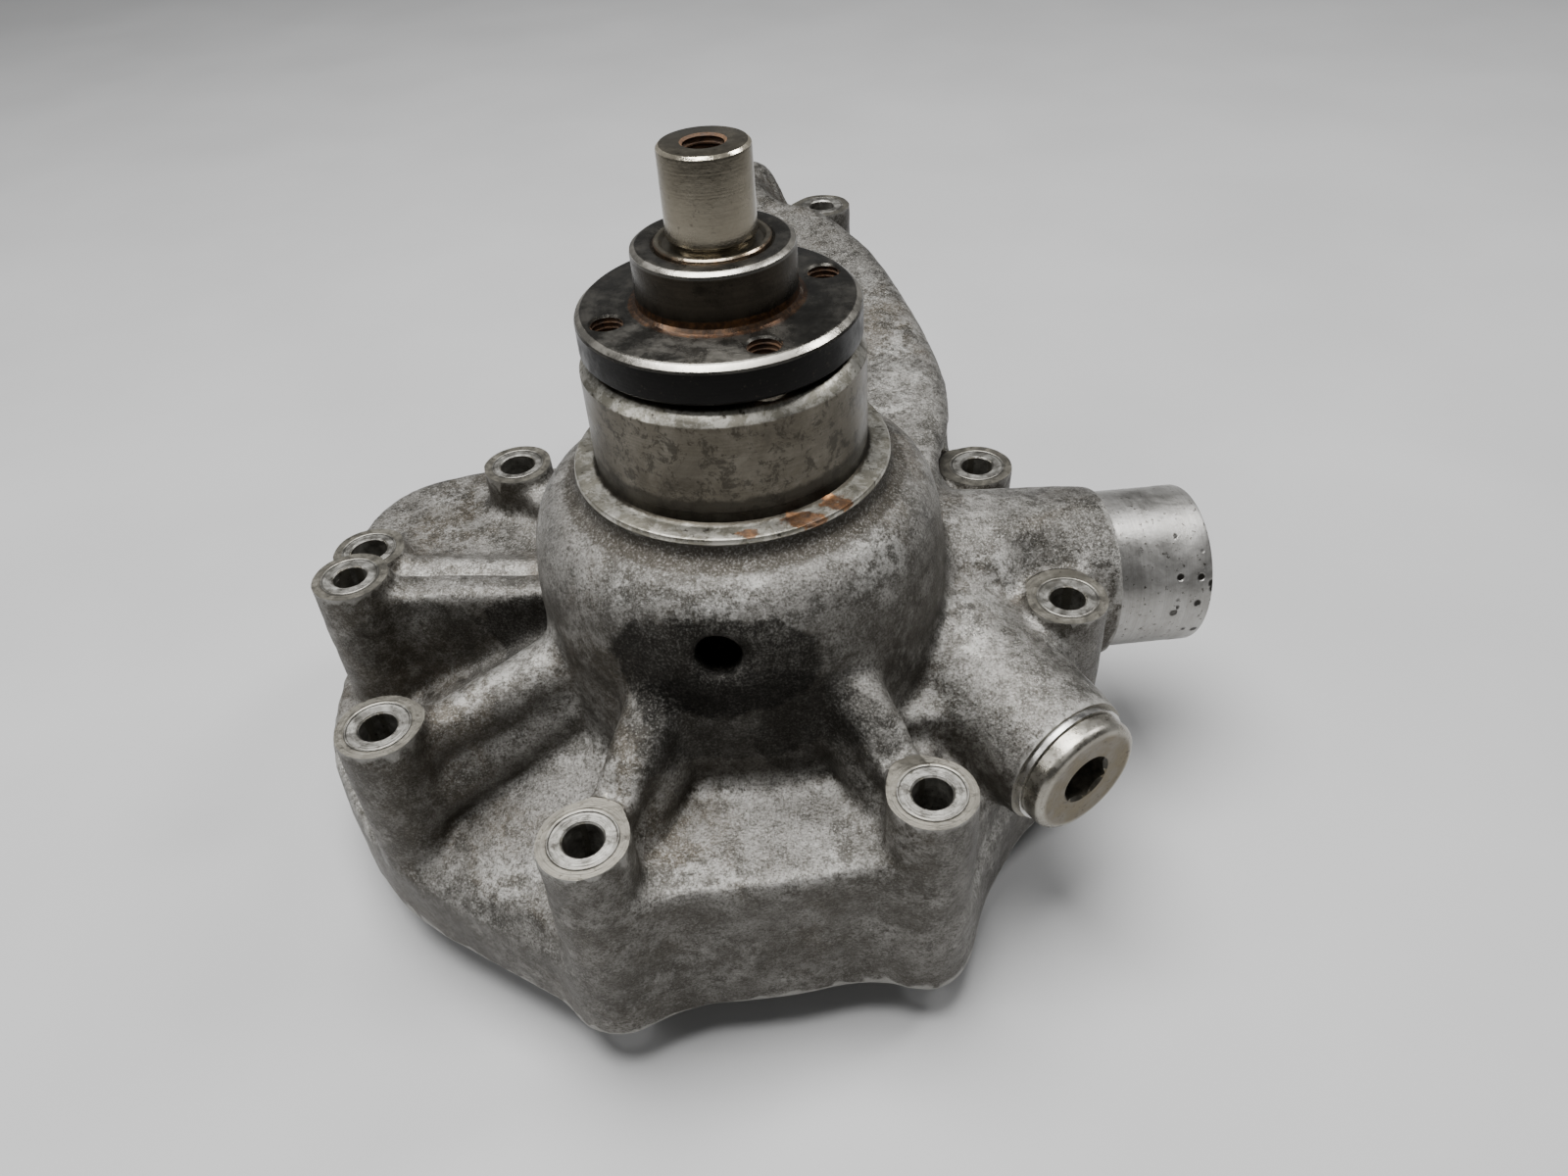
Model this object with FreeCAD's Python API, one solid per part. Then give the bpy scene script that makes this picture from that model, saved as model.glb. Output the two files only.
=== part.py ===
"""Engine coolant pump: cast front cover, pulley shaft, bearings, face seal and impeller.

Frame: millimetres. The origin is where the shaft axis meets the rear gasket face, +Z runs
along the shaft to its bare stub end, +X towards the hose spigot and +Y towards the duct arm.
"""
import FreeCAD, Part
import math
import os

V = FreeCAD.Vector
UP = V(0, 0, 1)

# ---- driving dimensions: shaft line, heights above the gasket face -------------------------
STUB_R = 9.6
STUB_TOP = 177.1
SHAFT_R = 12.5
SHAFT_TOP = 157.3
SHOULDER_R = 15.2
SEAL_SHAFT_R = 10.0
IMPELLER_SHAFT_R = 8.0
TAP_M8_R = 3.4
TAP_M10_R = 4.25            # minor radius of the M10 thread in the stub
TAP_M10_DEPTH = 22.0
TAP_M10_COUNTERSINK = 0.85

HUB_SLEEVE_R = 17.5
HUB_FLANGE_R = 31.15
HUB_FLANGE_TOP = 144.4
HUB_FLANGE_BOTTOM = 135.4
HUB_BOLT_R = 25.0
HUB_BOLT_COUNT = 4
HUB_BOLT_START = 25.3

NOSE_R = 31.9
NOSE_TOP = 133.8
NOSE_CHAMFER = 2.6
COLLAR_R = 36.7
COLLAR_TOP = 107.0
COLLAR_BOTTOM = 101.3

# ---- rolling bearings, 25 x 52 x 15 -------------------------------------------------------
BEARING_BORE_R = 12.5
BEARING_OUT_R = 26.0
BEARING_WIDTH = 15.0
BALL_R = 3.97
BALL_COUNT = 9
PITCH_R = 19.25
RACE_R = 4.03
INNER_LAND_R = 16.4
OUTER_LAND_R = 22.1
REAR_BEARING_Z = 90.0
FRONT_BEARING_Z = 115.5
CIRCLIP_T = 1.75

# ---- housing ------------------------------------------------------------------------------
RIM_HEIGHT = 20.0
POCKET_DEPTH = 11.0
SHELL_WALL = 7.0
RIM_WIDTH = 9.0
CHAMBER_R = 50.0
CHAMBER_TOP = 36.0
CHAMBER_WALL = 6.0
EYE_R = 40.0
EYE_TOP = 52.0
SEAL_BORE_R = 19.0
SEAL_BORE_TOP = 67.0
PARTITION_TOP = 74.0
LOBE_HOLLOW_R = 96.0        # rear hollow behind the lobes, a cone up under the dome
LOBE_HOLLOW_TOP_R = 52.0
LOBE_HOLLOW_HEIGHT = 26.0
DRIP_R = 22.5               # drip chamber below the rear bearing
DRIP_RING_R = 32.5          # ring-shaped hollow round the bearing bore
DRIP_RING_OUT_R = 43.5
DRIP_RING_TOP = 94.0
BEARING_SEAT_FLOOR = 4.0    # metal left under the rear bearing
WEEP_X = -2.0
WEEP_FROM_Y = -30.0
WEEP_LENGTH = 30.0
WEEP_Z = 84.0
WEEP_R = 5.2
BOSS_R = 10.0
BOLT_HOLE_R = 4.5
DOWEL_HOLE_R = 5.2

# boss name: centre x, centre y, face height, hole radius
BOSSES = {
    "a": (-84.0, -46.1, 62.0, BOLT_HOLE_R),
    "b": (-30.6, -78.6, 60.8, BOLT_HOLE_R),
    "c": (43.3, -67.3, 60.6, BOLT_HOLE_R),
    "d": (82.0, -6.0, 62.0, BOLT_HOLE_R),
    "e": (65.6, 54.7, 62.0, BOLT_HOLE_R),
    "f": (-73.4, 62.9, 62.0, DOWEL_HOLE_R),
    "g": (-108.9, 10.0, 62.0, BOLT_HOLE_R),
    "h": (-112.8, 32.3, 54.0, DOWEL_HOLE_R),
    "i": (-44.0, 71.0, 60.0, BOLT_HOLE_R),
    "k": (21.0, 188.0, 90.0, BOLT_HOLE_R),
}

# gasket outline, anticlockwise from the foot of boss b
OUTLINE = [
    (-36, -88), (-26, -88), (-15, -82.5), (0, -80.3), (20, -77), (33, -75.6), (44, -78),
    (53.5, -70.6), (58, -57), (64, -45), (72, -32), (84, -20), (94, -7), (95, 10), (90, 27),
    (80, 42), (78, 57), (70, 67), (60, 76), (57, 92), (53, 110), (46, 132), (42, 152),
    (42, 170), (39, 190), (28, 200), (12, 203), (-4, 207), (-20, 200), (-29, 184),
    (-31, 164), (-29, 140), (-27, 118), (-31, 98), (-42, 88), (-58, 88), (-76, 88),
    (-93, 85), (-107, 80), (-116, 73), (-122, 62), (-125.5, 45), (-126, 27), (-124.5, 8),
    (-120, -12), (-111, -29), (-97.5, -47), (-83.5, -59), (-68.5, -67.5), (-54.6, -75),
    (-43, -82),
]

# raised deck of the left lobe, behind the rib of boss g, anticlockwise
PLATEAU = [
    (-35, 25), (-20, 45), (-26, 70), (-44, 82), (-68, 82), (-88, 81), (-102, 77),
    (-112, 71), (-119, 60), (-122, 42), (-119, 22), (-106, 10), (-84, 11), (-56, 14),
]
PLATEAU_TOP = 49.0

# duct arm sections: y, left x, right x, top z
ARM_STATIONS = [
    (10, -24, 50, 76), (50, -24, 57, 81), (88, -25, 57, 84), (115, -27, 51, 87),
    (140, -28, 43, 91), (160, -27, 31, 95.5), (176, -24, 18, 99.5), (192, -18, 9, 102),
    (204, -12, 0, 103),
]
ARM_EDGE_R = 9.0
ARM_WALL = 7.0
ARM_CAVITY_FIRST_TOP = 56.0

# hose spigot and screw plug
NECK_END = V(120.2, 29.6, 44.0)
NECK_DIR = V(0.983, 0.173, -0.056).normalize()
NECK_R = 22.0
NECK_CAST_R = 23.4
NECK_BORE_R = 18.0
NECK_MACHINED = 26.2
NECK_TOTAL = 92.0
PLUG_FACE = V(81.5, -49.2, 42.3)
PLUG_DIR = V(0.564, -0.826, -0.019).normalize()
PLUG_HEAD_R = 15.5
PLUG_HEAD_T = 5.5
PLUG_THREAD_R = 12.9
PLUG_THREAD_LENGTH = 14.0
PLUG_HOLE_R = 13.0
PLUG_SOCKET = 12.0
WASHER_T = 1.6
PLUG_BOSS_R = 17.0

# impeller
IMPELLER_R = 45.0
IMPELLER_BACK = -15.0
IMPELLER_DISC_T = 4.0
IMPELLER_VANE_TOP = 6.0
IMPELLER_HUB_R = 14.0
IMPELLER_HUB_TOP = 28.0
VANE_COUNT = 7
VANE_T = 4.0


# ---- helpers --------------------------------------------------------------------------------
def cylinder(r, z0, z1, x=0.0, y=0.0):
    """Upright cylinder between two heights."""
    return Part.makeCylinder(r, z1 - z0, V(x, y, z0), UP)


def rod(r, start, direction, length):
    """Cylinder of any direction."""
    return Part.makeCylinder(r, length, start, direction)


def ring(r_in, r_out, z0, z1):
    return cylinder(r_out, z0, z1).cut(cylinder(r_in, z0 - 1, z1 + 1))


def polygon_wire(points, z):
    return Part.makePolygon([V(x, y, z) for x, y in points + points[:1]])


def prism(points, z0, z1):
    """Straight-sided block over a polygon."""
    return Part.Face(polygon_wire(points, z0)).extrude(V(0, 0, z1 - z0))


def smooth_prism(points, z0, z1):
    """Block over a closed smooth curve through the points."""
    curve = Part.BSplineCurve()
    curve.interpolate([V(x, y, z0) for x, y in points], PeriodicFlag=True)
    return Part.Face(Part.Wire(curve.toShape())).extrude(V(0, 0, z1 - z0))


def inset(points, distance):
    """Points moved inwards, square to the line through their two neighbours."""
    moved = []
    count = len(points)
    for i, (x, y) in enumerate(points):
        x0, y0 = points[i - 1]
        x1, y1 = points[(i + 1) % count]
        length = math.hypot(x1 - x0, y1 - y0)
        moved.append((x - distance * (y1 - y0) / length, y + distance * (x1 - x0) / length))
    return moved


def revolve(profile):
    """Solid of revolution about Z from a closed list of (radius, height) corners."""
    wire = Part.makePolygon([V(r, 0, z) for r, z in profile + profile[:1]])
    return Part.Face(wire).revolve(V(0, 0, 0), UP, 360)


def fuse(shapes):
    """Union, one shape after another."""
    whole = shapes[0]
    for shape in shapes[1:]:
        whole = whole.fuse(shape)
    return whole


def cut_all(shape, cutters):
    """Shape less each cutter in turn."""
    for cutter in cutters:
        shape = shape.cut(cutter)
    return shape


def polar(r, angle):
    a = math.radians(angle)
    return r * math.cos(a), r * math.sin(a)


def solid_of(shape):
    """The cleaned single solid of a boolean result, or the shape when it holds several."""
    clean = shape.removeSplitter()
    return clean.Solids[0] if len(clean.Solids) == 1 else clean


# ---- housing --------------------------------------------------------------------------------
def dome():
    """Turned shape of dome, collar and nose."""
    return revolve([
        (0, 20), (52, 20), (51.2, 62), (50.8, 78), (49.8, 87), (48.4, 92.5), (46, 97),
        (42.5, 100), (39, 101), (COLLAR_R - 0.4, COLLAR_BOTTOM), (COLLAR_R, COLLAR_TOP - 0.6),
        (COLLAR_R - 0.6, COLLAR_TOP), (NOSE_R + 1.2, 111.2), (NOSE_R, 112.4),
        (NOSE_R, NOSE_TOP - NOSE_CHAMFER), (NOSE_R - NOSE_CHAMFER, NOSE_TOP), (0, NOSE_TOP),
    ])


def rib(name, top_boss, top_dome, reach, width):
    """Web from a boss towards the shaft axis, its top sloping from boss to dome."""
    x, y, _, _ = BOSSES[name]
    distance = math.hypot(x, y)
    ux, uy = x / distance, y / distance
    profile = Part.makePolygon([
        V(ux * s, uy * s, z) for s, z in
        [(distance, 0), (distance, top_boss), (reach, top_dome), (reach, 0), (distance, 0)]
    ])
    side = V(-uy, ux, 0) * width
    web = Part.Face(profile).extrude(side)
    web.translate(side * -0.5)
    return web


def arm_section(y, left, right, bottom, top, edge_r):
    """Upright closed section of the duct arm with two rounded top edges."""
    c = math.cos(math.radians(45))
    k = edge_r * (1 - c)
    corner = [V(right, y, top - edge_r), V(right - k, y, top - k), V(right - edge_r, y, top)]
    other = [V(left + edge_r, y, top), V(left + k, y, top - k), V(left, y, top - edge_r)]
    edges = [
        Part.LineSegment(V(left, y, bottom), V(right, y, bottom)),
        Part.LineSegment(V(right, y, bottom), corner[0]),
        Part.Arc(*corner),
        Part.LineSegment(corner[2], other[0]),
        Part.Arc(*other),
        Part.LineSegment(other[2], V(left, y, bottom)),
    ]
    return Part.Wire([e.toShape() for e in edges])


def arm_outside():
    sections = []
    for y, left, right, top in ARM_STATIONS:
        edge_r = min(ARM_EDGE_R, 0.45 * (right - left))
        sections.append(arm_section(y, left, right, 0, top, edge_r))
    return Part.makeLoft(sections, True, False)


def arm_cavity():
    sections = []
    for y, left, right, top in ARM_STATIONS[1:7]:
        roof = ARM_CAVITY_FIRST_TOP if y < 60 else top - ARM_WALL
        sections.append(arm_section(y, left + ARM_WALL, right - ARM_WALL, -1, roof, 5.0))
    return Part.makeLoft(sections, True, False)


def outer_shell():
    """All the outside masses of the casting, before anything is hollowed."""
    skirt = smooth_prism(OUTLINE, 0, RIM_HEIGHT)
    cone = Part.makeCone(104, 51, 28.5, V(0, 0, 18), UP)
    lobes = cone.common(smooth_prism(inset(OUTLINE, 2.5), 2, 60))
    wedge = prism([(-44, -120), (52, -120), (46, -30), (-30, -30)], 1, 44)
    step = smooth_prism(inset(OUTLINE, 0.4), 1, 60).common(wedge)
    plateau = smooth_prism(PLATEAU, 3, PLATEAU_TOP)
    saddle = prism([(30, -34), (58, -26), (83, -13), (90, 3), (87, 24), (76, 48), (60, 60),
                    (30, 62)], 4, 43)
    cheek = prism([(34, -40), (60, -33), (76, -18), (86, -2), (82, 14), (40, 12)], 8, 52)
    front_right = prism([(30, -60), (52, -60), (59, -46), (65, -36), (73, -22), (40, 0)], 5, 34)
    neck = rod(NECK_CAST_R, NECK_END - NECK_DIR * NECK_TOTAL, NECK_DIR,
               NECK_TOTAL - NECK_MACHINED)
    spigot = rod(NECK_R, NECK_END - NECK_DIR * (NECK_MACHINED + 1), NECK_DIR, NECK_MACHINED + 1)
    seat = PLUG_FACE - PLUG_DIR * (PLUG_HEAD_T + WASHER_T)
    plug_boss = rod(PLUG_BOSS_R, seat - PLUG_DIR * 60, PLUG_DIR, 60)
    g_rib = prism([(-109, 6), (-45, 7), (-45, 17), (-109, 18)], 6, 57)
    thin_rib = prism([(-106, 27), (-40, 24), (-40, 29), (-106, 33)], 7, 52)
    return fuse([
        skirt, step, lobes, dome(), plateau, saddle, cheek, front_right, neck, spigot, plug_boss,
        g_rib, thin_rib, arm_outside(), rib("a", 60, 60, 40, 8), rib("b", 59, 68, 40, 8),
        rib("c", 59, 76, 40, 8), rib("d", 58, 60, 40, 10), rib("e", 58, 60, 30, 10),
        rib("f", 58, 58, 30, 12), rib("i", 57, 59, 30, 12),
    ])


def boss_columns():
    return [cylinder(BOSS_R, 0, top, x, y) for x, y, top, _ in BOSSES.values()]


def bolt_holes():
    return [cylinder(hole, -1, top + 1, x, y) for x, y, top, hole in BOSSES.values()]


def rear_cavities():
    """Hollows behind the lobes, which leave a wall of even thickness."""
    inside = inset(OUTLINE, RIM_WIDTH)
    pocket = smooth_prism(inside, -1, POCKET_DEPTH)
    cone = Part.makeCone(LOBE_HOLLOW_R, LOBE_HOLLOW_TOP_R, LOBE_HOLLOW_HEIGHT,
                         V(0, 0, POCKET_DEPTH - 1), UP)
    under_lobes = cone.common(smooth_prism(inset(OUTLINE, RIM_WIDTH + 1), 2, 60))
    under_plateau = smooth_prism(inset(PLATEAU, SHELL_WALL), 4, PLATEAU_TOP - SHELL_WALL)
    return [pocket, under_lobes, under_plateau]


def chamber_wall():
    return ring(CHAMBER_R, CHAMBER_R + CHAMBER_WALL, 0, CHAMBER_TOP + 2)


def wet_cavities():
    """Impeller chamber, seal eye, duct and hose bore, all joined."""
    chamber = cylinder(CHAMBER_R, -1, CHAMBER_TOP)
    eye = cylinder(EYE_R, 0, EYE_TOP)
    bore_length = NECK_TOTAL - 4
    bore = rod(NECK_BORE_R, NECK_END - NECK_DIR * bore_length, NECK_DIR, bore_length + 1)
    return [chamber, eye, arm_cavity(), bore]


def dry_cavities():
    """Bearing bore, drip chamber under the dome and the weep hole."""
    shaft_way = cylinder(SEAL_SHAFT_R + 1.6, EYE_TOP - 1, PARTITION_TOP + 1)
    seal_bore = cylinder(SEAL_BORE_R, EYE_TOP - 1, SEAL_BORE_TOP)
    drip = cylinder(DRIP_R, PARTITION_TOP, REAR_BEARING_Z + 0.5)
    outer_drip = ring(DRIP_RING_R, DRIP_RING_OUT_R, PARTITION_TOP, DRIP_RING_TOP)
    join = ring(DRIP_R - 0.5, DRIP_RING_R + 0.5, PARTITION_TOP, REAR_BEARING_Z - BEARING_SEAT_FLOOR)
    bearing_bore = cylinder(BEARING_OUT_R, REAR_BEARING_Z, NOSE_TOP + 1)
    groove_z = FRONT_BEARING_Z + BEARING_WIDTH
    groove = cylinder(BEARING_OUT_R + 1.6, groove_z, groove_z + CIRCLIP_T)
    weep = rod(WEEP_R, V(WEEP_X, WEEP_FROM_Y, WEEP_Z), V(0, -1, 0), WEEP_LENGTH)
    return [shaft_way, seal_bore, drip, outer_drip, join, bearing_bore, groove, weep]


def pump_housing():
    body = outer_shell()
    body = cut_all(body, rear_cavities())
    body = fuse([body, chamber_wall()] + boss_columns())
    body = cut_all(body, wet_cavities() + bolt_holes() + dry_cavities())
    seat = PLUG_FACE - PLUG_DIR * (PLUG_HEAD_T + WASHER_T)
    plug_hole = rod(PLUG_HOLE_R, seat + PLUG_DIR, PLUG_DIR * -1, 42)
    spot_face = rod(PLUG_BOSS_R + 6, seat, PLUG_DIR, 40)
    return cut_all(body, [plug_hole, spot_face]).Solids[0]


# ---- shaft line -----------------------------------------------------------------------------
def pump_shaft():
    shaft = revolve([
        (0, IMPELLER_BACK + 1), (IMPELLER_SHAFT_R - 0.5, IMPELLER_BACK + 1),
        (IMPELLER_SHAFT_R, IMPELLER_BACK + 1.5), (IMPELLER_SHAFT_R, IMPELLER_HUB_TOP),
        (SEAL_SHAFT_R, IMPELLER_HUB_TOP), (SEAL_SHAFT_R, REAR_BEARING_Z - 6),
        (SHOULDER_R, REAR_BEARING_Z - 6), (SHOULDER_R, REAR_BEARING_Z),
        (SHAFT_R, REAR_BEARING_Z), (SHAFT_R, SHAFT_TOP - 0.5), (SHAFT_R - 0.5, SHAFT_TOP),
        (STUB_R - 0.6, SHAFT_TOP), (STUB_R - 0.6, SHAFT_TOP + 1.2), (STUB_R, SHAFT_TOP + 1.2),
        (STUB_R, STUB_TOP - 0.8), (STUB_R - 0.8, STUB_TOP), (0, STUB_TOP),
    ])
    mouth = TAP_M10_COUNTERSINK
    countersink = Part.makeCone(TAP_M10_R, TAP_M10_R + mouth, mouth, V(0, 0, STUB_TOP - mouth), UP)
    bottom = STUB_TOP - TAP_M10_DEPTH
    tap = cylinder(TAP_M10_R, bottom, STUB_TOP)
    drill_tip = Part.makeCone(0, TAP_M10_R, 2.4, V(0, 0, bottom - 2.4), UP)
    return solid_of(shaft.cut(fuse([countersink, tap, drill_tip])))


def hub_flange():
    bearing_top = FRONT_BEARING_Z + BEARING_WIDTH
    hub = revolve([
        (SHAFT_R, bearing_top), (16, bearing_top), (16, HUB_FLANGE_BOTTOM),
        (HUB_FLANGE_R - 1, HUB_FLANGE_BOTTOM), (HUB_FLANGE_R, HUB_FLANGE_BOTTOM + 1),
        (HUB_FLANGE_R, HUB_FLANGE_TOP - 1.4), (HUB_FLANGE_R - 1.4, HUB_FLANGE_TOP),
        (HUB_SLEEVE_R + 1.6, HUB_FLANGE_TOP), (HUB_SLEEVE_R, HUB_FLANGE_TOP + 1.6),
        (HUB_SLEEVE_R, SHAFT_TOP - 1), (HUB_SLEEVE_R - 1, SHAFT_TOP), (SHAFT_R, SHAFT_TOP),
    ])
    cutters = []
    for i in range(HUB_BOLT_COUNT):
        x, y = polar(HUB_BOLT_R, HUB_BOLT_START + 360 / HUB_BOLT_COUNT * i)
        cutters.append(cylinder(TAP_M8_R, HUB_FLANGE_BOTTOM - 1, HUB_FLANGE_TOP + 1, x, y))
        cutters.append(Part.makeCone(TAP_M8_R, 4.3, 0.9, V(x, y, HUB_FLANGE_TOP - 0.9), UP))
    return solid_of(hub.cut(fuse(cutters)))


def impeller():
    disc_top = IMPELLER_BACK + IMPELLER_DISC_T
    body = revolve([
        (IMPELLER_SHAFT_R, IMPELLER_BACK), (IMPELLER_R, IMPELLER_BACK), (IMPELLER_R, disc_top),
        (IMPELLER_HUB_R + 5, disc_top), (IMPELLER_HUB_R, disc_top + 5),
        (IMPELLER_HUB_R, IMPELLER_HUB_TOP), (IMPELLER_SHAFT_R, IMPELLER_HUB_TOP),
    ])
    vanes = [vane(360 / VANE_COUNT * i, disc_top - 1) for i in range(VANE_COUNT)]
    keep = cylinder(IMPELLER_R, IMPELLER_BACK, IMPELLER_VANE_TOP).cut(
        cylinder(IMPELLER_SHAFT_R, IMPELLER_BACK - 1, IMPELLER_VANE_TOP + 1))
    return solid_of(fuse([body] + [v.common(keep) for v in vanes]))


def vane(angle, bottom):
    """Backward-curved vane, a slice of a cylinder wall."""
    curve_r = 34.0
    cx, cy = polar(32.0, angle)
    wall = Part.makeCylinder(curve_r, IMPELLER_VANE_TOP - bottom, V(cx, cy, bottom), UP)
    wall = wall.cut(Part.makeCylinder(curve_r - VANE_T, 60, V(cx, cy, bottom - 1), UP))
    x1, y1 = polar(60.0, angle + 130)
    x2, y2 = polar(60.0, angle + 55)
    sector = prism([(0, 0), (x2, y2), (x1, y1)], bottom - 1, IMPELLER_VANE_TOP + 1)
    return wall.common(sector)


# ---- rolling bearings -------------------------------------------------------------------------
def bearing_parts(z):
    """The six pieces of one shielded deep-groove ball bearing with its lower face at z."""
    mid = z + BEARING_WIDTH / 2
    top = z + BEARING_WIDTH
    race = Part.makeTorus(PITCH_R, RACE_R, V(0, 0, mid), UP)
    outer = ring(OUTER_LAND_R, BEARING_OUT_R, z, top).cut(race)
    inner = ring(BEARING_BORE_R, INNER_LAND_R, z, top).cut(race)
    centres = [polar(PITCH_R, 360 / BALL_COUNT * i) for i in range(BALL_COUNT)]
    balls = Part.makeCompound([Part.makeSphere(BALL_R, V(x, y, mid)) for x, y in centres])
    cage = ring(PITCH_R - 1.1, PITCH_R + 1.1, mid - 5.2, mid + 5.2)
    cage = cut_all(cage, [rod(BALL_R + 0.15, V(0, 0, mid), V(x, y, 0), 30) for x, y in centres])
    shields = [ring(INNER_LAND_R + 0.35, OUTER_LAND_R, s, s + 0.6) for s in (z + 0.7, top - 1.3)]
    return {
        "outer_ring": solid_of(outer), "inner_ring": solid_of(inner), "balls": balls,
        "cage": solid_of(cage), "rear_shield": shields[0], "front_shield": shields[1],
    }


def outer_spacer():
    return ring(23.5, BEARING_OUT_R, REAR_BEARING_Z + BEARING_WIDTH, FRONT_BEARING_Z)


def inner_spacer():
    return ring(SHAFT_R, 15.5, REAR_BEARING_Z + BEARING_WIDTH, FRONT_BEARING_Z)


def bearing_circlip():
    """Internal retaining ring with a gap and two drilled ears."""
    z0 = FRONT_BEARING_Z + BEARING_WIDTH
    z1 = z0 + CIRCLIP_T
    clip = ring(23.8, BEARING_OUT_R + 1.5, z0, z1)
    for side in (-1, 1):
        x, y = polar(23.6, 90 + side * 12)
        clip = clip.fuse(cylinder(3.2, z0, z1, x, y).common(cylinder(BEARING_OUT_R, z0, z1)))
    for side in (-1, 1):
        x, y = polar(23.0, 90 + side * 12)
        clip = clip.cut(cylinder(1.25, z0 - 1, z1 + 1, x, y))
    gap = prism([(0, 0), polar(40, 84), polar(40, 96)], z0 - 1, z1 + 1)
    return solid_of(clip.cut(gap))


# ---- face seal --------------------------------------------------------------------------------
def water_slinger():
    return revolve([(SEAL_SHAFT_R, 76), (20.5, 76), (20.9, 79.5), (20.0, 79.5), (19.4, 77.2),
                    (12.5, 77.2), (12.5, 80), (SEAL_SHAFT_R, 80)])


def seal_cup():
    return revolve([(18.1, EYE_TOP - 1), (22, EYE_TOP - 1), (22, EYE_TOP), (SEAL_BORE_R, EYE_TOP),
                    (SEAL_BORE_R, SEAL_BORE_TOP), (13, SEAL_BORE_TOP), (13, SEAL_BORE_TOP - 0.9),
                    (18.1, SEAL_BORE_TOP - 0.9)])


def seal_bellows():
    """Rubber sleeve with two folds, from the cup's roof to the carbon ring."""
    outside = [(15.2, 42), (15.2, 48), (12.9, 50), (15.4, 53), (12.9, 56), (15.4, 59),
               (14.4, 62), (17.8, 64), (17.8, SEAL_BORE_TOP - 0.9)]
    inside = [(13.2, SEAL_BORE_TOP - 0.9), (13.2, 63), (12.4, 61), (13.9, 59), (11.5, 56),
              (13.9, 53), (11.5, 50), (11.5, 43), (13.9, 43), (13.9, 42)]
    return revolve(outside + inside)


def seal_carbon_ring():
    return revolve([(11.4, 37.05), (14.2, 37.05), (14.2, 38.5), (13.8, 38.5), (13.8, 43),
                    (11.4, 43)])


def seal_spring():
    """Round-wire coil between the bellows' foot and the cup's roof."""
    coil_r, wire_r, pitch, height = 16.6, 0.55, 3.4, 13.0
    helix = Part.makeHelix(pitch, height, coil_r)
    circle = Part.Circle(V(coil_r, 0, 0), V(0, 1, 0), wire_r)
    profile = Part.Wire(circle.toShape())
    coil = Part.Wire(helix).makePipeShell([profile], True, True)
    coil.translate(V(0, 0, 49.4))
    return coil


def counter_ring_cup():
    z = IMPELLER_HUB_TOP
    return revolve([(SEAL_SHAFT_R, z), (17, z), (17, z + 5.5), (15.6, z + 5.5), (15.6, z + 2),
                    (SEAL_SHAFT_R, z + 2)])


def seal_counter_ring():
    z = IMPELLER_HUB_TOP + 2
    return revolve([(SEAL_SHAFT_R + 0.2, z), (15.6, z), (15.6, z + 6.2), (15.0, z + 7),
                    (SEAL_SHAFT_R + 0.2, z + 7)])


# ---- screw plug -------------------------------------------------------------------------------
def along(direction, origin, shape):
    """Shape built on +Z, turned to a direction and moved to an origin."""
    turn = FreeCAD.Rotation(UP, direction)
    placed = shape.copy()
    placed.Placement = FreeCAD.Placement(origin, turn).multiply(shape.Placement)
    return placed


def blanking_plug():
    """Thread with its run of crests, round head, hexagon socket; its outer face is z = 0."""
    pitch = 1.5
    root = PLUG_THREAD_R - 0.8
    under = -PLUG_HEAD_T
    profile = [(0, under - PLUG_THREAD_LENGTH), (root, under - PLUG_THREAD_LENGTH)]
    turns = int((PLUG_THREAD_LENGTH - 3) / pitch)
    for i in range(turns):
        z = under - PLUG_THREAD_LENGTH + i * pitch
        profile += [(root, z + 0.15), (PLUG_THREAD_R, z + 0.65), (PLUG_THREAD_R, z + 0.85),
                    (root, z + 1.35)]
    profile += [(root, under), (PLUG_HEAD_R, under), (PLUG_HEAD_R, -0.9),
                (PLUG_HEAD_R - 0.9, 0), (0, 0)]
    profile = [p for i, p in enumerate(profile) if i == 0 or p != profile[i - 1]]
    body = revolve(profile)
    corner_r = PLUG_SOCKET / 2 / math.cos(math.radians(30))
    hexagon = [polar(corner_r, 60 * i + 10) for i in range(6)]
    body = body.cut(prism(hexagon, -9, 1))
    return along(PLUG_DIR, PLUG_FACE, solid_of(body))


def plug_washer():
    washer = ring(PLUG_THREAD_R + 0.3, PLUG_BOSS_R - 0.8, -PLUG_HEAD_T - WASHER_T, -PLUG_HEAD_T)
    return along(PLUG_DIR, PLUG_FACE, washer)


# ---- write one file per piece -------------------------------------------------------------------
def build():
    nodes = {
        "pump_housing": pump_housing(), "pump_shaft": pump_shaft(), "hub_flange": hub_flange(),
        "impeller": impeller(), "outer_spacer": outer_spacer(), "inner_spacer": inner_spacer(),
        "bearing_circlip": bearing_circlip(), "water_slinger": water_slinger(),
        "seal_cup": seal_cup(), "seal_bellows": seal_bellows(), "seal_spring": seal_spring(),
        "seal_carbon_ring": seal_carbon_ring(), "counter_ring_cup": counter_ring_cup(),
        "seal_counter_ring": seal_counter_ring(), "blanking_plug": blanking_plug(),
        "plug_washer": plug_washer(),
    }
    for name, z in (("front", FRONT_BEARING_Z), ("rear", REAR_BEARING_Z)):
        for piece, shape in bearing_parts(z).items():
            nodes[f"{name}_bearing_{piece}"] = shape
    os.makedirs("parts", exist_ok=True)
    for name, shape in nodes.items():
        shape.exportStep(f"parts/{name}.step")
        box = shape.BoundBox
        print(f"{name:28s} solids {len(shape.Solids)} valid {shape.isValid()} "
              f"volume {shape.Volume:10.1f} z {box.ZMin:.1f} to {box.ZMax:.1f}")


build()
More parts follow.
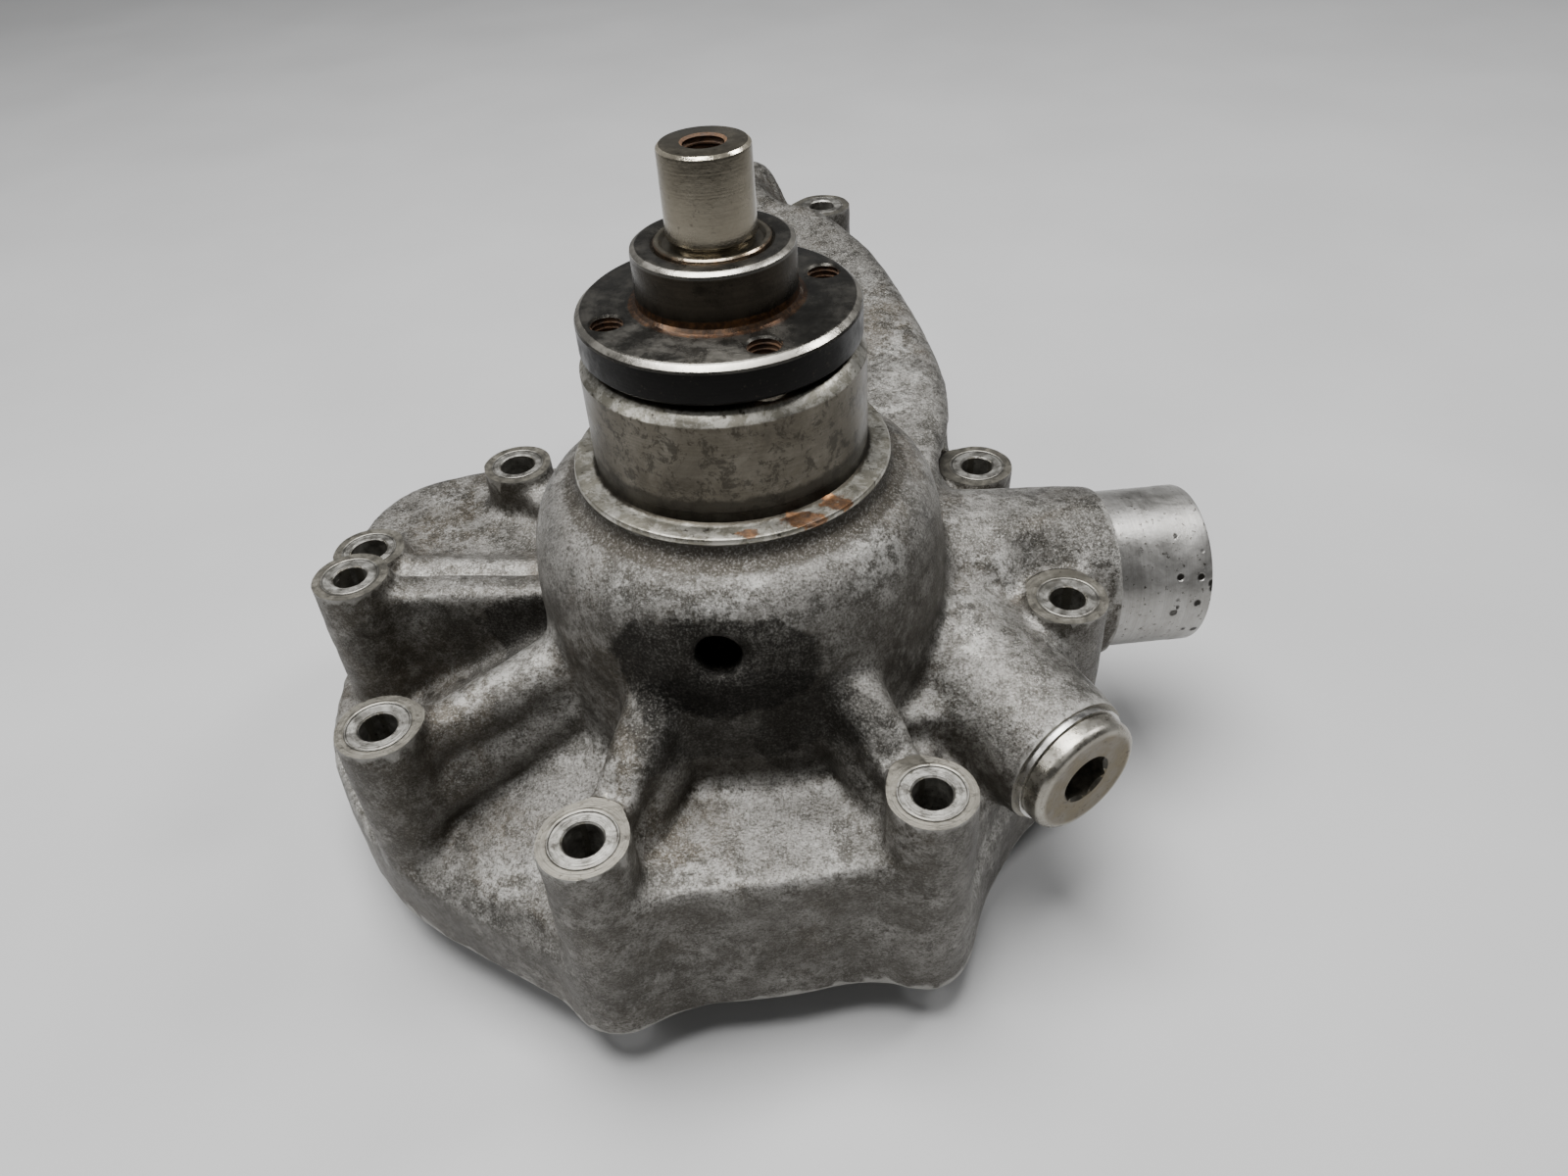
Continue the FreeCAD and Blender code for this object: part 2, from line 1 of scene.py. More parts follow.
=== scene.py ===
# %% [markdown]
# # An engine coolant pump, dressed around its working model
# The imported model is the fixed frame: it holds every part at its real size and place. This lesson
# adds what a machinist and a foundry leave behind: cast skin, turned faces, threads, rust and oil.
# The frame is loaded first, because every new piece takes its place from it.

# %% Load the frame
import math

import bpy
from mathutils import Matrix, Vector


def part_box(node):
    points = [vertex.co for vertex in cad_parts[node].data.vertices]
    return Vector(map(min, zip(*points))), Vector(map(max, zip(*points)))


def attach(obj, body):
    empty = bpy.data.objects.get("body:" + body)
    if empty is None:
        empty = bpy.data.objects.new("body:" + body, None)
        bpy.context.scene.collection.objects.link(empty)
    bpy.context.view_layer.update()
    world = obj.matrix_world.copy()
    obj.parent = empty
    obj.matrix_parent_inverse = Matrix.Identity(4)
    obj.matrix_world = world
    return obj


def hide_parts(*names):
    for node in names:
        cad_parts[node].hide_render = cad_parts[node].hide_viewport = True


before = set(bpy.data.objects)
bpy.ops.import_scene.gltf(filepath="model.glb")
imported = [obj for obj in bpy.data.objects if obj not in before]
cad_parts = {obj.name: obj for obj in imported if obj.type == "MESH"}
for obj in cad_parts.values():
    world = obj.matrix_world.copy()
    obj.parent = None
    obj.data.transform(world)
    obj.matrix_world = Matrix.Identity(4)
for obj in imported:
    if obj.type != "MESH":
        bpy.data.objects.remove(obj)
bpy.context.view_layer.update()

MM = 0.001

# %% [markdown]
# ## Small tools used in every cell
# Blender's operators work on what is selected, and the frame arrives selected. These helpers pick one
# object at a time, so that a later cell reads like a list of hand moves. A mesh could also be written
# out as raw numbers, but then nobody could see how it was shaped.

# %% Helpers for selecting and applying
def only(piece):
    """Select one object and make it the active one."""
    bpy.ops.object.select_all(action="DESELECT")
    piece.select_set(True)
    bpy.context.view_layer.objects.active = piece
    return piece


def edit(piece):
    only(piece)
    bpy.ops.object.mode_set(mode="EDIT")


def leave_edit():
    bpy.ops.object.mode_set(mode="OBJECT")


def apply_modifier(piece, kind, **values):
    """Add a modifier, set its values and apply it at once."""
    only(piece)
    modifier = piece.modifiers.new(kind.title(), kind)
    for key, value in values.items():
        setattr(modifier, key, value)
    bpy.ops.object.modifier_apply(modifier=modifier.name)
    return piece


def settle(piece, name):
    """Name a piece and put its place into its mesh, so that its object sits at the origin."""
    only(piece)
    bpy.ops.object.transform_apply(location=True, rotation=True, scale=True)
    piece.name = name
    piece.data.name = name
    return piece


def join(pieces, name):
    bpy.ops.object.select_all(action="DESELECT")
    for piece in pieces:
        piece.select_set(True)
    bpy.context.view_layer.objects.active = pieces[0]
    bpy.ops.object.join()
    return settle(bpy.context.object, name)


def recalculate(piece):
    """Merge doubles and point all faces outwards."""
    edit(piece)
    bpy.ops.mesh.select_all(action="SELECT")
    bpy.ops.mesh.remove_doubles(threshold=0.004 * MM)
    bpy.ops.mesh.normals_make_consistent(inside=False)
    leave_edit()
    return piece


def towards(direction):
    """Turn that lays a primitive's own Z axis along a direction."""
    return Vector(direction).to_track_quat("Z", "Y").to_euler()


# %% Helpers for round bodies
def rod(radius, start, end, segments=48, radius_end=None):
    """Cylinder, or cone, between two points."""
    start, end = Vector(start), Vector(end)
    bpy.ops.object.select_all(action="DESELECT")
    bpy.ops.mesh.primitive_cone_add(
        vertices=segments, radius1=radius, radius2=radius if radius_end is None else radius_end,
        depth=(end - start).length, location=(start + end) / 2, rotation=towards(end - start))
    return bpy.context.object


def turned(name, profile, segments=128, solid=False):
    """Lathe work about Z: a circle is extruded and resized along a profile of (radius, height)
    pairs in millimetres. A tube closes back onto its first ring, a solid bar has filled ends."""
    bpy.ops.object.select_all(action="DESELECT")
    r, z = profile[0]
    bpy.ops.mesh.primitive_circle_add(vertices=segments, radius=r * MM, location=(0, 0, z * MM),
                                      fill_type="NGON" if solid else "NOTHING")
    piece = settle(bpy.context.object, name)
    edit(piece)
    bpy.ops.mesh.select_all(action="SELECT")
    for r_next, z_next in profile[1:] if solid else profile[1:] + profile[:1]:
        bpy.ops.mesh.extrude_edges_move(TRANSFORM_OT_translate={"value": (0, 0, (z_next - z) * MM)})
        grow = r_next / r
        bpy.ops.transform.resize(value=(grow, grow, 1), center_override=(0, 0, z_next * MM))
        r, z = r_next, z_next
    if solid:
        bpy.ops.mesh.edge_face_add()
    leave_edit()
    recalculate(piece)
    print(name, "turned,", len(piece.data.polygons), "faces")
    return piece


def soften(piece, degrees):
    """Shade a piece smooth, with a crisp line wherever it turns more sharply than this."""
    only(piece)
    bpy.ops.object.shade_smooth_by_angle(angle=math.radians(degrees))


def wear(piece, *finishes):
    """Give a piece its finishes, one material slot each."""
    piece.data.materials.clear()
    for finish in finishes:
        piece.data.materials.append(finish)


def move_to(piece, origin, direction):
    """Carry a piece made about Z from the world origin to a new origin and axis."""
    turn = Vector(direction).to_track_quat("Z", "Y").to_matrix().to_4x4()
    piece.data.transform(Matrix.Translation(Vector(origin)) @ turn)
    return piece


# %% [markdown]
# ## The camera
# The camera stands in front of the pump and a little to its right, looking down by some forty degrees
# through a wide lens. Its turn is written as three plain angles, because a matrix of bare numbers
# would tell a reader nothing about where the viewer stands.

# %% Camera
EYE = Vector((25.0, -225.7, 251.1)) * MM
LENS_MM = 26.0
YAW, PITCH, ROLL = (math.radians(a) for a in (-3.82, 39.83, -3.88))


def aim(yaw, pitch, roll):
    """Camera rotation from its heading, downward pitch and roll."""
    forward = Vector((math.sin(yaw) * math.cos(pitch), math.cos(yaw) * math.cos(pitch),
                      -math.sin(pitch)))
    level = Vector((math.cos(yaw), -math.sin(yaw), 0))
    above = level.cross(forward)
    right = level * math.cos(roll) + above * math.sin(roll)
    up = above * math.cos(roll) - level * math.sin(roll)
    return Matrix((right, up, -forward)).transposed().to_4x4()


camera_data = bpy.data.cameras.new("camera")
camera_data.lens = LENS_MM
camera_data.sensor_width = 36
camera_data.clip_start = 0.01
camera = bpy.data.objects.new("camera", camera_data)
bpy.context.scene.collection.objects.link(camera)
camera.matrix_world = Matrix.Translation(EYE) @ aim(YAW, PITCH, ROLL)
bpy.context.scene.camera = camera
print("camera at", tuple(round(c, 3) for c in EYE))

# %% [markdown]
# ## Sizes shared with the casting
# The casting is one piece, but its machined places are known one by one: the bolt bosses, the hose
# spigot, the plug's seat and the bearing nose. They are named here once, in millimetres.

# %% Machined places of the casting
FLOOR_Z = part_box("impeller")[0].z
BOSSES = {  # name: x, y, height of the faced top, radius of the hole
    "a": (-84.0, -46.1, 62.0, 4.5), "b": (-30.6, -78.6, 60.8, 4.5),
    "c": (43.3, -67.3, 60.6, 4.5), "d": (82.0, -6.0, 62.0, 4.5),
    "e": (65.6, 54.7, 62.0, 4.5), "f": (-73.4, 62.9, 62.0, 5.2),
    "g": (-108.9, 10.0, 62.0, 4.5), "h": (-112.8, 32.3, 54.0, 5.2),
    "i": (-44.0, 71.0, 60.0, 4.5), "k": (21.0, 188.0, 90.0, 4.5),
}
BOSS_R = 10.0
SPIGOT_END = Vector((120.2, 29.6, 44.0)) * MM
SPIGOT_DIR = Vector((0.983, 0.173, -0.056)).normalized()
SPIGOT_LENGTH = 26.2
PLUG_FACE = Vector((81.5, -49.2, 42.3)) * MM
PLUG_DIR = Vector((0.564, -0.826, -0.019)).normalized()
PLUG_SEAT_DEPTH = 7.1
NOSE_SPLIT_Z = 105.4
WEEP_X, WEEP_Z, WEEP_R = -2.0, 84.0, 5.2

# %% [markdown]
# ## Building a finish from nodes
# A worn part never has one colour. Each finish below is a stack: a base tone that varies slowly, then
# specks, stains and rust laid over it through masks. The masks come from noise on Object coordinates,
# so the pattern stays fixed to the metal. These helpers keep every finish down to a readable recipe.

# %% Helpers for finishes
def feed(tree, socket, value):
    """Link a socket, or type a number or colour into it."""
    if isinstance(value, bpy.types.NodeSocket):
        tree.links.new(value, socket)
    elif isinstance(value, (tuple, list)) and socket.type == "RGBA":
        socket.default_value = tuple(value[:3]) + (1,)
    else:
        socket.default_value = value


def add(tree, kind, settings=None, **sockets):
    """Add a shader node, set its properties and feed its named sockets."""
    node = tree.nodes.new("ShaderNode" + kind)
    for key, value in (settings or {}).items():
        setattr(node, key, value)
    for key, value in sockets.items():
        feed(tree, node.inputs[key.replace("_", " ")], value)
    return node


def calc(tree, operation, a, b=0.0):
    node = add(tree, "Math", {"operation": operation})
    feed(tree, node.inputs[0], a)
    feed(tree, node.inputs[1], b)
    return node.outputs[0]


def vector_calc(tree, operation, a, b=(0.0, 0.0, 0.0), output=0):
    node = add(tree, "VectorMath", {"operation": operation})
    feed(tree, node.inputs[0], a)
    feed(tree, node.inputs[1], b)
    return node.outputs[output]


def spread(tree, value, low, high, out_low=0.0, out_high=1.0):
    """Map one range of a value to another, with soft ends."""
    node = add(tree, "MapRange", {"interpolation_type": "SMOOTHSTEP"}, Value=value, From_Min=low,
               From_Max=high, To_Min=out_low, To_Max=out_high)
    return node.outputs[0]


def paint(tree, mask, under, over, mode="MIX"):
    """Lay one colour over another through a mask."""
    node = add(tree, "Mix", {"data_type": "RGBA", "blend_type": mode})
    feed(tree, node.inputs[0], mask)
    feed(tree, node.inputs[6], under)
    feed(tree, node.inputs[7], over)
    return node.outputs[2]


def tone(tree, value, stops):
    """Colour ramp from (place, colour) stops."""
    node = add(tree, "ValToRGB", Fac=value)
    ramp = node.color_ramp
    while len(ramp.elements) < len(stops):
        ramp.elements.new(0.5)
    for element, (place, colour) in zip(ramp.elements, stops):
        element.position = place
        element.color = tuple(colour) + (1,)
    return node.outputs[0]


def grain(tree, place, scale, detail=4.0, roughness=0.6, distortion=0.0):
    """Noise with a given number of features per metre."""
    node = add(tree, "TexNoise", Vector=place, Scale=scale, Detail=detail, Roughness=roughness,
               Distortion=distortion)
    return node.outputs[0]


def around(tree, place, centre, reach):
    """1 at a centre, falling to 0 at the reach along each axis, both in millimetres."""
    offset = vector_calc(tree, "SUBTRACT", place, [c * MM for c in centre])
    scaled = vector_calc(tree, "DIVIDE", offset, [r * MM for r in reach])
    distance = vector_calc(tree, "LENGTH", scaled, output=1)
    return spread(tree, distance, 1.0, 0.35)


def ragged(tree, mask, place, scale, amount=0.5):
    """Break a soft mask up with noise, so that a stain gets a ragged rim."""
    noise = grain(tree, place, scale, 5, 0.65)
    swing = calc(tree, "MULTIPLY", calc(tree, "SUBTRACT", noise, 0.5), 2 * amount)
    shifted = calc(tree, "ADD", mask, swing)
    return spread(tree, calc(tree, "MULTIPLY", shifted, spread(tree, mask, 0.0, 0.2)), 0.25, 0.75)


def relief(tree, shader, layers):
    """Stack bump layers of (height, depth in millimetres)."""
    normal = None
    for height, depth in layers:
        node = add(tree, "Bump", Height=height, Distance=depth * MM, Strength=1.0)
        if normal is not None:
            tree.links.new(normal, node.inputs["Normal"])
        normal = node.outputs[0]
    tree.links.new(normal, shader.inputs["Normal"])


def new_finish(name, metallic, roughness):
    material = bpy.data.materials.new(name)
    material.use_nodes = True
    tree = material.node_tree
    shader = tree.nodes["Principled BSDF"]
    shader.inputs["Metallic"].default_value = metallic
    feed(tree, shader.inputs["Roughness"], roughness)
    place = add(tree, "TexCoord").outputs["Object"]
    return material, tree, shader, place


def lathe_coordinates(tree, place, origin=None, direction=None):
    """(radius, height, 0) about an axis, on which noise becomes turning marks, then each alone."""
    if direction is not None:
        place = add(tree, "Mapping", {"vector_type": "TEXTURE"}, Vector=place, Location=origin,
                    Rotation=towards(direction)).outputs[0]
    parts = add(tree, "SeparateXYZ", Vector=place)
    radius = vector_calc(tree, "LENGTH", add(tree, "CombineXYZ", X=parts.outputs[0],
                                             Y=parts.outputs[1]).outputs[0], output=1)
    lathe = add(tree, "CombineXYZ", X=radius, Y=parts.outputs[2]).outputs[0]
    return lathe, radius, parts.outputs[2]


# %% [markdown]
# ## Sand-cast aluminium
# The skin is grey-brown and mottled, with a fine sparkle from the sand's grain. Coolant and oil have
# dried black below the weep hole and in the left pockets, pale dust lies in patches, and edges that
# get knocked are paler. Pointiness finds the edges. Corners found by ambient occlusion, walls that
# face sideways or down, and a band under the collar are darkened as painted shade.

# %% Cast aluminium finish
STAINED = (0.075, 0.068, 0.055)
# Dark grime colour. It also paints shade on walls facing sideways or down, in corners and under the
# collar.
GRIME_AND_SHADE = (0.045, 0.038, 0.028)
BROWN_FILM = (0.105, 0.082, 0.053)
SKIN_DARK = (0.075, 0.071, 0.062)
SKIN_MID = (0.165, 0.157, 0.142)
SKIN_PALE = (0.29, 0.28, 0.26)
OXIDE = (0.48, 0.47, 0.44)
RUST = (0.33, 0.15, 0.055)
RUST_DARK = (0.11, 0.052, 0.026)
POLISHED_SADDLE = ((70, -20, 56), (44, 40, 30))
OIL_SPOTS = [  # centre and reach in millimetres, then how black
    ((-3, -52, 81), (38, 30, 19), 0.84),
    ((4, -54, 68), (40, 26, 20), 0.55),
    ((20, -52, 60), (24, 22, 20), 0.4),
    ((-60, 2, 46), (24, 14, 17), 0.72),
    ((-92, 2, 44), (28, 14, 18), 0.35),
    ((-58, -22, 46), (24, 18, 18), 0.5),
    ((8, 150, 92), (52, 84, 50), 0.42),
    ((86, 20, 66), (34, 26, 22), 0.3),
]


def cast_finish(name):
    material, tree, shader, place = new_finish(name, 0.8, 0.5)
    blotch = grain(tree, place, 30, 8, 0.66, 0.4)
    skin = tone(tree, blotch, [(0.36, SKIN_DARK), (0.5, SKIN_MID), (0.66, SKIN_PALE)])
    film = grain(tree, vector_calc(tree, "ADD", place, (0.31, 0.17, 0.05)), 21, 7, 0.66, 0.6)
    skin = paint(tree, spread(tree, film, 0.48, 0.64, 0.0, 0.6), skin, BROWN_FILM)
    patch = grain(tree, vector_calc(tree, "ADD", place, (0.7, 0.2, 0.1)), 95, 7, 0.74, 0.3)
    skin = paint(tree, spread(tree, patch, 0.49, 0.62, 0.0, 0.7), skin, SKIN_PALE)
    skin = paint(tree, spread(tree, patch, 0.49, 0.38, 0.0, 0.7), skin, SKIN_DARK)
    cloud = grain(tree, place, 330, 8, 0.78)
    skin = paint(tree, spread(tree, cloud, 0.50, 0.58, 0.0, 0.6), skin, SKIN_PALE)
    skin = paint(tree, spread(tree, cloud, 0.48, 0.40, 0.0, 0.65), skin, SKIN_DARK)
    fine = grain(tree, place, 1700, 5, 0.78)
    dusty = spread(tree, grain(tree, vector_calc(tree, "ADD", place, (0.05, 0.4, 0.2)), 50, 8, 0.72),
                   0.5, 0.6)
    dust = calc(tree, "MULTIPLY", dusty, spread(tree, cloud, 0.42, 0.56))
    skin = paint(tree, calc(tree, "MULTIPLY", dust, 0.65), skin, OXIDE)
    skin = paint(tree, spread(tree, fine, 0.52, 0.60, 0.0, 0.7), skin, GRIME_AND_SHADE)
    skin = paint(tree, spread(tree, fine, 0.46, 0.38, 0.0, 0.55), skin, OXIDE)
    # Walls that face sideways or down are darkened: painted shade, as if lit from above.
    facing = add(tree, "SeparateXYZ", Vector=add(tree, "NewGeometry").outputs["Normal"]).outputs[2]
    side_shade = spread(tree, facing, 0.5, -0.05, 0.0, 0.72)
    skin = paint(tree, calc(tree, "MULTIPLY", side_shade, spread(tree, patch, 0.65, 0.4, 0.45, 1.0)), skin,
                 GRIME_AND_SHADE)
    pointy = add(tree, "NewGeometry").outputs["Pointiness"]
    worn = ragged(tree, spread(tree, pointy, 0.505, 0.55), place, 600, 0.4)
    skin = paint(tree, calc(tree, "MULTIPLY", worn, 0.5), skin, OXIDE)
    # Ambient occlusion darkens corners and recesses: painted shade.
    open_sky = add(tree, "AmbientOcclusion", {"samples": 8}, Distance=22 * MM).outputs["AO"]
    corner = ragged(tree, spread(tree, open_sky, 0.8, 0.3), place, 160, 0.35)
    skin = paint(tree, calc(tree, "MULTIPLY", corner, spread(tree, cloud, 0.6, 0.4, 0.3, 0.7)), skin,
                 GRIME_AND_SHADE)
    for centre, reach, black in OIL_SPOTS:
        darkening = spread(tree, ragged(tree, around(tree, place, centre, reach), place, 130, 0.5), 0.1, 0.6)
        crumbs = calc(tree, "MULTIPLY", spread(tree, fine, 0.42, 0.5, 0.7, 1.0), black)
        skin = paint(tree, calc(tree, "MULTIPLY", darkening, crumbs), skin, STAINED, "MULTIPLY")
    # A ragged dark band right under the collar: painted shade below its overhang, with some grime.
    lathe = lathe_coordinates(tree, place)[0]
    undercut = ragged(tree, around(tree, lathe, (37.0, 100.5, 0), (5.5, 7, 1000)), place, 330, 1.0)
    skin = paint(tree, calc(tree, "MULTIPLY", undercut, spread(tree, fine, 0.4, 0.5, 0.4, 0.8)), skin,
                 GRIME_AND_SHADE)
    tree.links.new(skin, shader.inputs["Base Color"])
    handled = around(tree, place, *POLISHED_SADDLE)
    rough = calc(tree, "SUBTRACT", spread(tree, patch, 0.35, 0.65, 0.36, 0.58),
                 calc(tree, "MULTIPLY", handled, 0.12))
    tree.links.new(rough, shader.inputs["Roughness"])
    peel = grain(tree, place, 620, 3, 0.55)
    relief(tree, shader, [(cloud, 0.35), (peel, 0.22), (fine, 0.14)])
    return material


cast_aluminium = cast_finish("cast_aluminium")

# %% [markdown]
# ## Machined aluminium
# A spot face keeps the rings of its cutter, and the nose and the spigot those of the lathe. On the
# many boss faces the rings follow a radius stored on the mesh, because each has its own centre. The
# turned pieces take theirs from their axis.

# %% Faced and turned aluminium
MACHINED_DARK = (0.18, 0.17, 0.15)
MACHINED = (0.34, 0.33, 0.30)
MACHINED_PALE = (0.50, 0.49, 0.455)


def faced_finish():
    """Boss tops with the print of a washer, bolt holes and the gasket face."""
    material, tree, shader, place = new_finish("faced_aluminium", 0.9, 0.38)
    offset = add(tree, "Attribute", {"attribute_name": "cutter_place"}).outputs["Vector"]
    radius = vector_calc(tree, "LENGTH", offset, output=1)
    rings = add(tree, "TexNoise", {"noise_dimensions": "1D"}, W=radius, Scale=1900, Detail=3).outputs[0]
    cloud = grain(tree, place, 260, 8, 0.75)
    skin = tone(tree, cloud, [(0.36, MACHINED_DARK), (0.5, MACHINED), (0.66, MACHINED_PALE)])
    skin = paint(tree, spread(tree, rings, 0.42, 0.62, 0.0, 0.4), skin, MACHINED_DARK)
    outside_washer = spread(tree, radius, 7.6 * MM, 8.0 * MM)
    skin = paint(tree, calc(tree, "MULTIPLY", outside_washer, spread(tree, cloud, 0.35, 0.55, 0.35, 0.7)),
                 skin, (0.17, 0.155, 0.12))
    print_edge = calc(tree, "MULTIPLY", spread(tree, radius, 7.1 * MM, 7.5 * MM),
                      spread(tree, radius, 8.0 * MM, 7.6 * MM))
    skin = paint(tree, calc(tree, "MULTIPLY", print_edge, spread(tree, rings, 0.3, 0.5, 0.3, 0.8)), skin,
                 GRIME_AND_SHADE)
    dents = grain(tree, place, 900, 5, 0.7)
    skin = paint(tree, spread(tree, dents, 0.56, 0.68, 0.0, 0.7), skin, GRIME_AND_SHADE)
    tree.links.new(skin, shader.inputs["Base Color"])
    tree.links.new(spread(tree, cloud, 0.35, 0.65, 0.28, 0.5), shader.inputs["Roughness"])
    relief(tree, shader, [(print_edge, -0.12), (rings, 0.05), (dents, 0.08)])
    return material


def turned_finish(name, tones, darkening, stain_amount, origin=None, direction=None, highlight_and_wear_bands=(),
                  shade_bands=(), pitted=None, rust_spots=()):
    """Lathe-turned aluminium about an axis, with oil blotches and, if any, rust-coloured spots. Pale
    bands paint highlights over worn bare metal, and dark bands paint shade.
    """
    material, tree, shader, place = new_finish(name, 0.88, 0.36)
    lathe = lathe_coordinates(tree, place, origin, direction)[0]
    rings = grain(tree, lathe, 2300, 3, 0.6)
    wide_rings = grain(tree, lathe, 300, 3, 0.6)
    cloud = grain(tree, place, 70, 7, 0.68, 0.5)
    dark, middle, pale = tones
    skin = tone(tree, cloud, [(0.36, dark), (0.5, middle), (0.66, pale)])
    skin = paint(tree, spread(tree, wide_rings, 0.4, 0.7, 0.0, 0.22), skin, pale)
    skin = paint(tree, spread(tree, rings, 0.42, 0.7, 0.0, 0.3), skin, dark)
    blotch = grain(tree, vector_calc(tree, "ADD", place, (0.2, 0.1, 0.4)), 210, 9, 0.8, 0.4)
    skin = paint(tree, spread(tree, blotch, 0.51, 0.57, 0.0, stain_amount), skin, darkening)
    # Dark bands: painted shade, in the blotches' dark colour.
    for band_r, band_z, across, along in shade_bands:
        band = around(tree, lathe, (band_r, band_z, 0), (across, along, 1000))
        skin = paint(tree, calc(tree, "MULTIPLY", ragged(tree, band, place, 160, 0.8), 0.75), skin, darkening)
    # Pale bands: painted highlights over worn bare metal.
    for band_r, band_z, across, along in highlight_and_wear_bands:
        band = around(tree, lathe, (band_r, band_z, 0), (across, along, 1000))
        worn = paint(tree, spread(tree, blotch, 0.42, 0.56), (0.56, 0.54, 0.48), (0.26, 0.245, 0.20))
        skin = paint(tree, ragged(tree, band, place, 500, 0.3), skin, worn)
    dents = grain(tree, place, 620, 5, 0.65)
    skin = paint(tree, spread(tree, dents, 0.59, 0.68, 0.0, 0.85), skin, GRIME_AND_SHADE)
    layers = [(wide_rings, 0.03), (rings, 0.015), (dents, 0.08)]
    if pitted:
        cells = add(tree, "TexVoronoi", Vector=place, Scale=330)
        draw = add(tree, "SeparateColor", Color=cells.outputs["Color"]).outputs[0]
        chosen = spread(tree, draw, 0.55, 0.6)
        pit = calc(tree, "MULTIPLY", spread(tree, cells.outputs["Distance"], 0.42, 0.25), chosen)
        pit = calc(tree, "MULTIPLY", pit, spread(tree, around(tree, place, *pitted), 0.3, 0.6))
        skin = paint(tree, pit, skin, (0.03, 0.028, 0.024))
        layers.append((pit, -0.4))
    for centre, reach in rust_spots:
        spot = ragged(tree, around(tree, place, centre, reach), place, 420, 1.6)
        skin = paint(tree, calc(tree, "MULTIPLY", spot, 0.85), skin,
                     tone(tree, dents, [(0.4, RUST_DARK), (0.6, RUST)]))
    tree.links.new(skin, shader.inputs["Base Color"])
    tree.links.new(spread(tree, cloud, 0.35, 0.65, 0.28, 0.46), shader.inputs["Roughness"])
    relief(tree, shader, layers)
    return material


faced_aluminium = faced_finish()
nose_aluminium = turned_finish(
    # These tones are kept dark as painted dark reflection of the room; the blotches over them are oil.
    "nose_aluminium", ((0.062, 0.054, 0.041), (0.115, 0.102, 0.079), (0.20, 0.183, 0.15)),
    # Pale bands paint highlights on the collar's rim and the nose's chamfer; the dark band paints shade
    # at the nose's foot.
    (0.022, 0.019, 0.014), 0.62, highlight_and_wear_bands=[(36.2, 106.6, 5.4, 3.4), (30.8, 132.4, 3.0, 2.2)],
    shade_bands=[(31.5, 109.0, 4.0, 6.5)],
    rust_spots=[((17.5, -30.5, 107), (7.5, 3.5, 3)), ((5.5, -35, 107), (3.6, 2.2, 3)),
                ((24.5, -25, 107), (5, 4, 3))])
spigot_aluminium = turned_finish(
    "spigot_aluminium", ((0.25, 0.24, 0.22), (0.38, 0.37, 0.35), (0.5, 0.49, 0.47)),
    (0.3, 0.29, 0.27), 0.4, SPIGOT_END, SPIGOT_DIR, pitted=((118, 10, 50), (9, 26, 26)))

# %% [markdown]
# ## Steel
# The hub is blackened steel, worn bright on its edges, with rust where water stands: round the foot of
# the sleeve and in the threads. The stub is ground, so it is the brightest piece of steel. Painted
# highlights run round the chamfers of the flange, the sleeve and the stub's end.

# %% Steel finishes
def steel_finish(name, dark, light, roughness, rust_bands=(), highlight_bands=(), oil=0.3):
    """Turned steel about Z. Rust bands are ((radius, height, reach) in millimetres, strength). Highlight
    bands are (radius, height, reach) of painted highlights.
    """
    material, tree, shader, place = new_finish(name, 0.92, roughness)
    lathe = lathe_coordinates(tree, place)[0]
    rings = grain(tree, lathe, 1500, 3, 0.6)
    cloud = grain(tree, place, 120, 6, 0.68)
    skin = tone(tree, cloud, [(0.3, dark), (0.7, light)])
    skin = paint(tree, spread(tree, rings, 0.4, 0.7, 0.0, 0.35), skin, dark)
    # Highlight bands: painted highlights on chamfers.
    for band_r, band_z, reach in highlight_bands:
        band = around(tree, lathe, (band_r, band_z, 0), (reach, reach, 1000))
        skin = paint(tree, ragged(tree, band, place, 500, 0.3), skin, [min(1.0, 3.2 * c) for c in light])
    film = grain(tree, place, 60, 4, 0.6, 0.8)
    skin = paint(tree, spread(tree, film, 0.5, 0.66, 0.0, oil), skin, [0.5 * c for c in dark])
    specks = grain(tree, place, 800, 5, 0.65)
    skin = paint(tree, spread(tree, specks, 0.6, 0.7, 0.0, 0.6), skin, GRIME_AND_SHADE)
    pointy = add(tree, "NewGeometry").outputs["Pointiness"]
    worn = spread(tree, pointy, 0.52, 0.6)
    skin = paint(tree, calc(tree, "MULTIPLY", worn, 0.6), skin, [min(1.0, 2.4 * c) for c in light])
    for (band_r, band_z, reach), strength in rust_bands:
        band = around(tree, lathe, (band_r, band_z, 0), (reach, reach, 1000))
        rusty = calc(tree, "MULTIPLY", ragged(tree, band, place, 150, 0.7), strength)
        skin = paint(tree, rusty, skin, tone(tree, specks, [(0.42, RUST_DARK), (0.66, RUST)]))
    tree.links.new(skin, shader.inputs["Base Color"])
    tree.links.new(spread(tree, cloud, 0.35, 0.65, roughness - 0.08, roughness + 0.14),
                   shader.inputs["Roughness"])
    relief(tree, shader, [(rings, 0.02), (specks, 0.05)])
    return material


# Painted highlights on the flange's top chamfer and the sleeve's end chamfer.
hub_steel = steel_finish(
    "blackened_steel", (0.055, 0.052, 0.046), (0.125, 0.118, 0.104), 0.25,
    rust_bands=[((18.0, 144.9, 1.9), 0.45)],
    highlight_bands=[(30.4, 143.8, 1.1), (16.9, 157.0, 1.0)])
hub_side_steel = steel_finish("oiled_steel", (0.004, 0.0038, 0.0035), (0.010, 0.0095, 0.009), 0.36)
sleeve_steel = steel_finish("varnished_steel", (0.014, 0.0115, 0.008), (0.06, 0.05, 0.037), 0.3,
                            rust_bands=[((17.5, 145.6, 2.0), 0.5)])
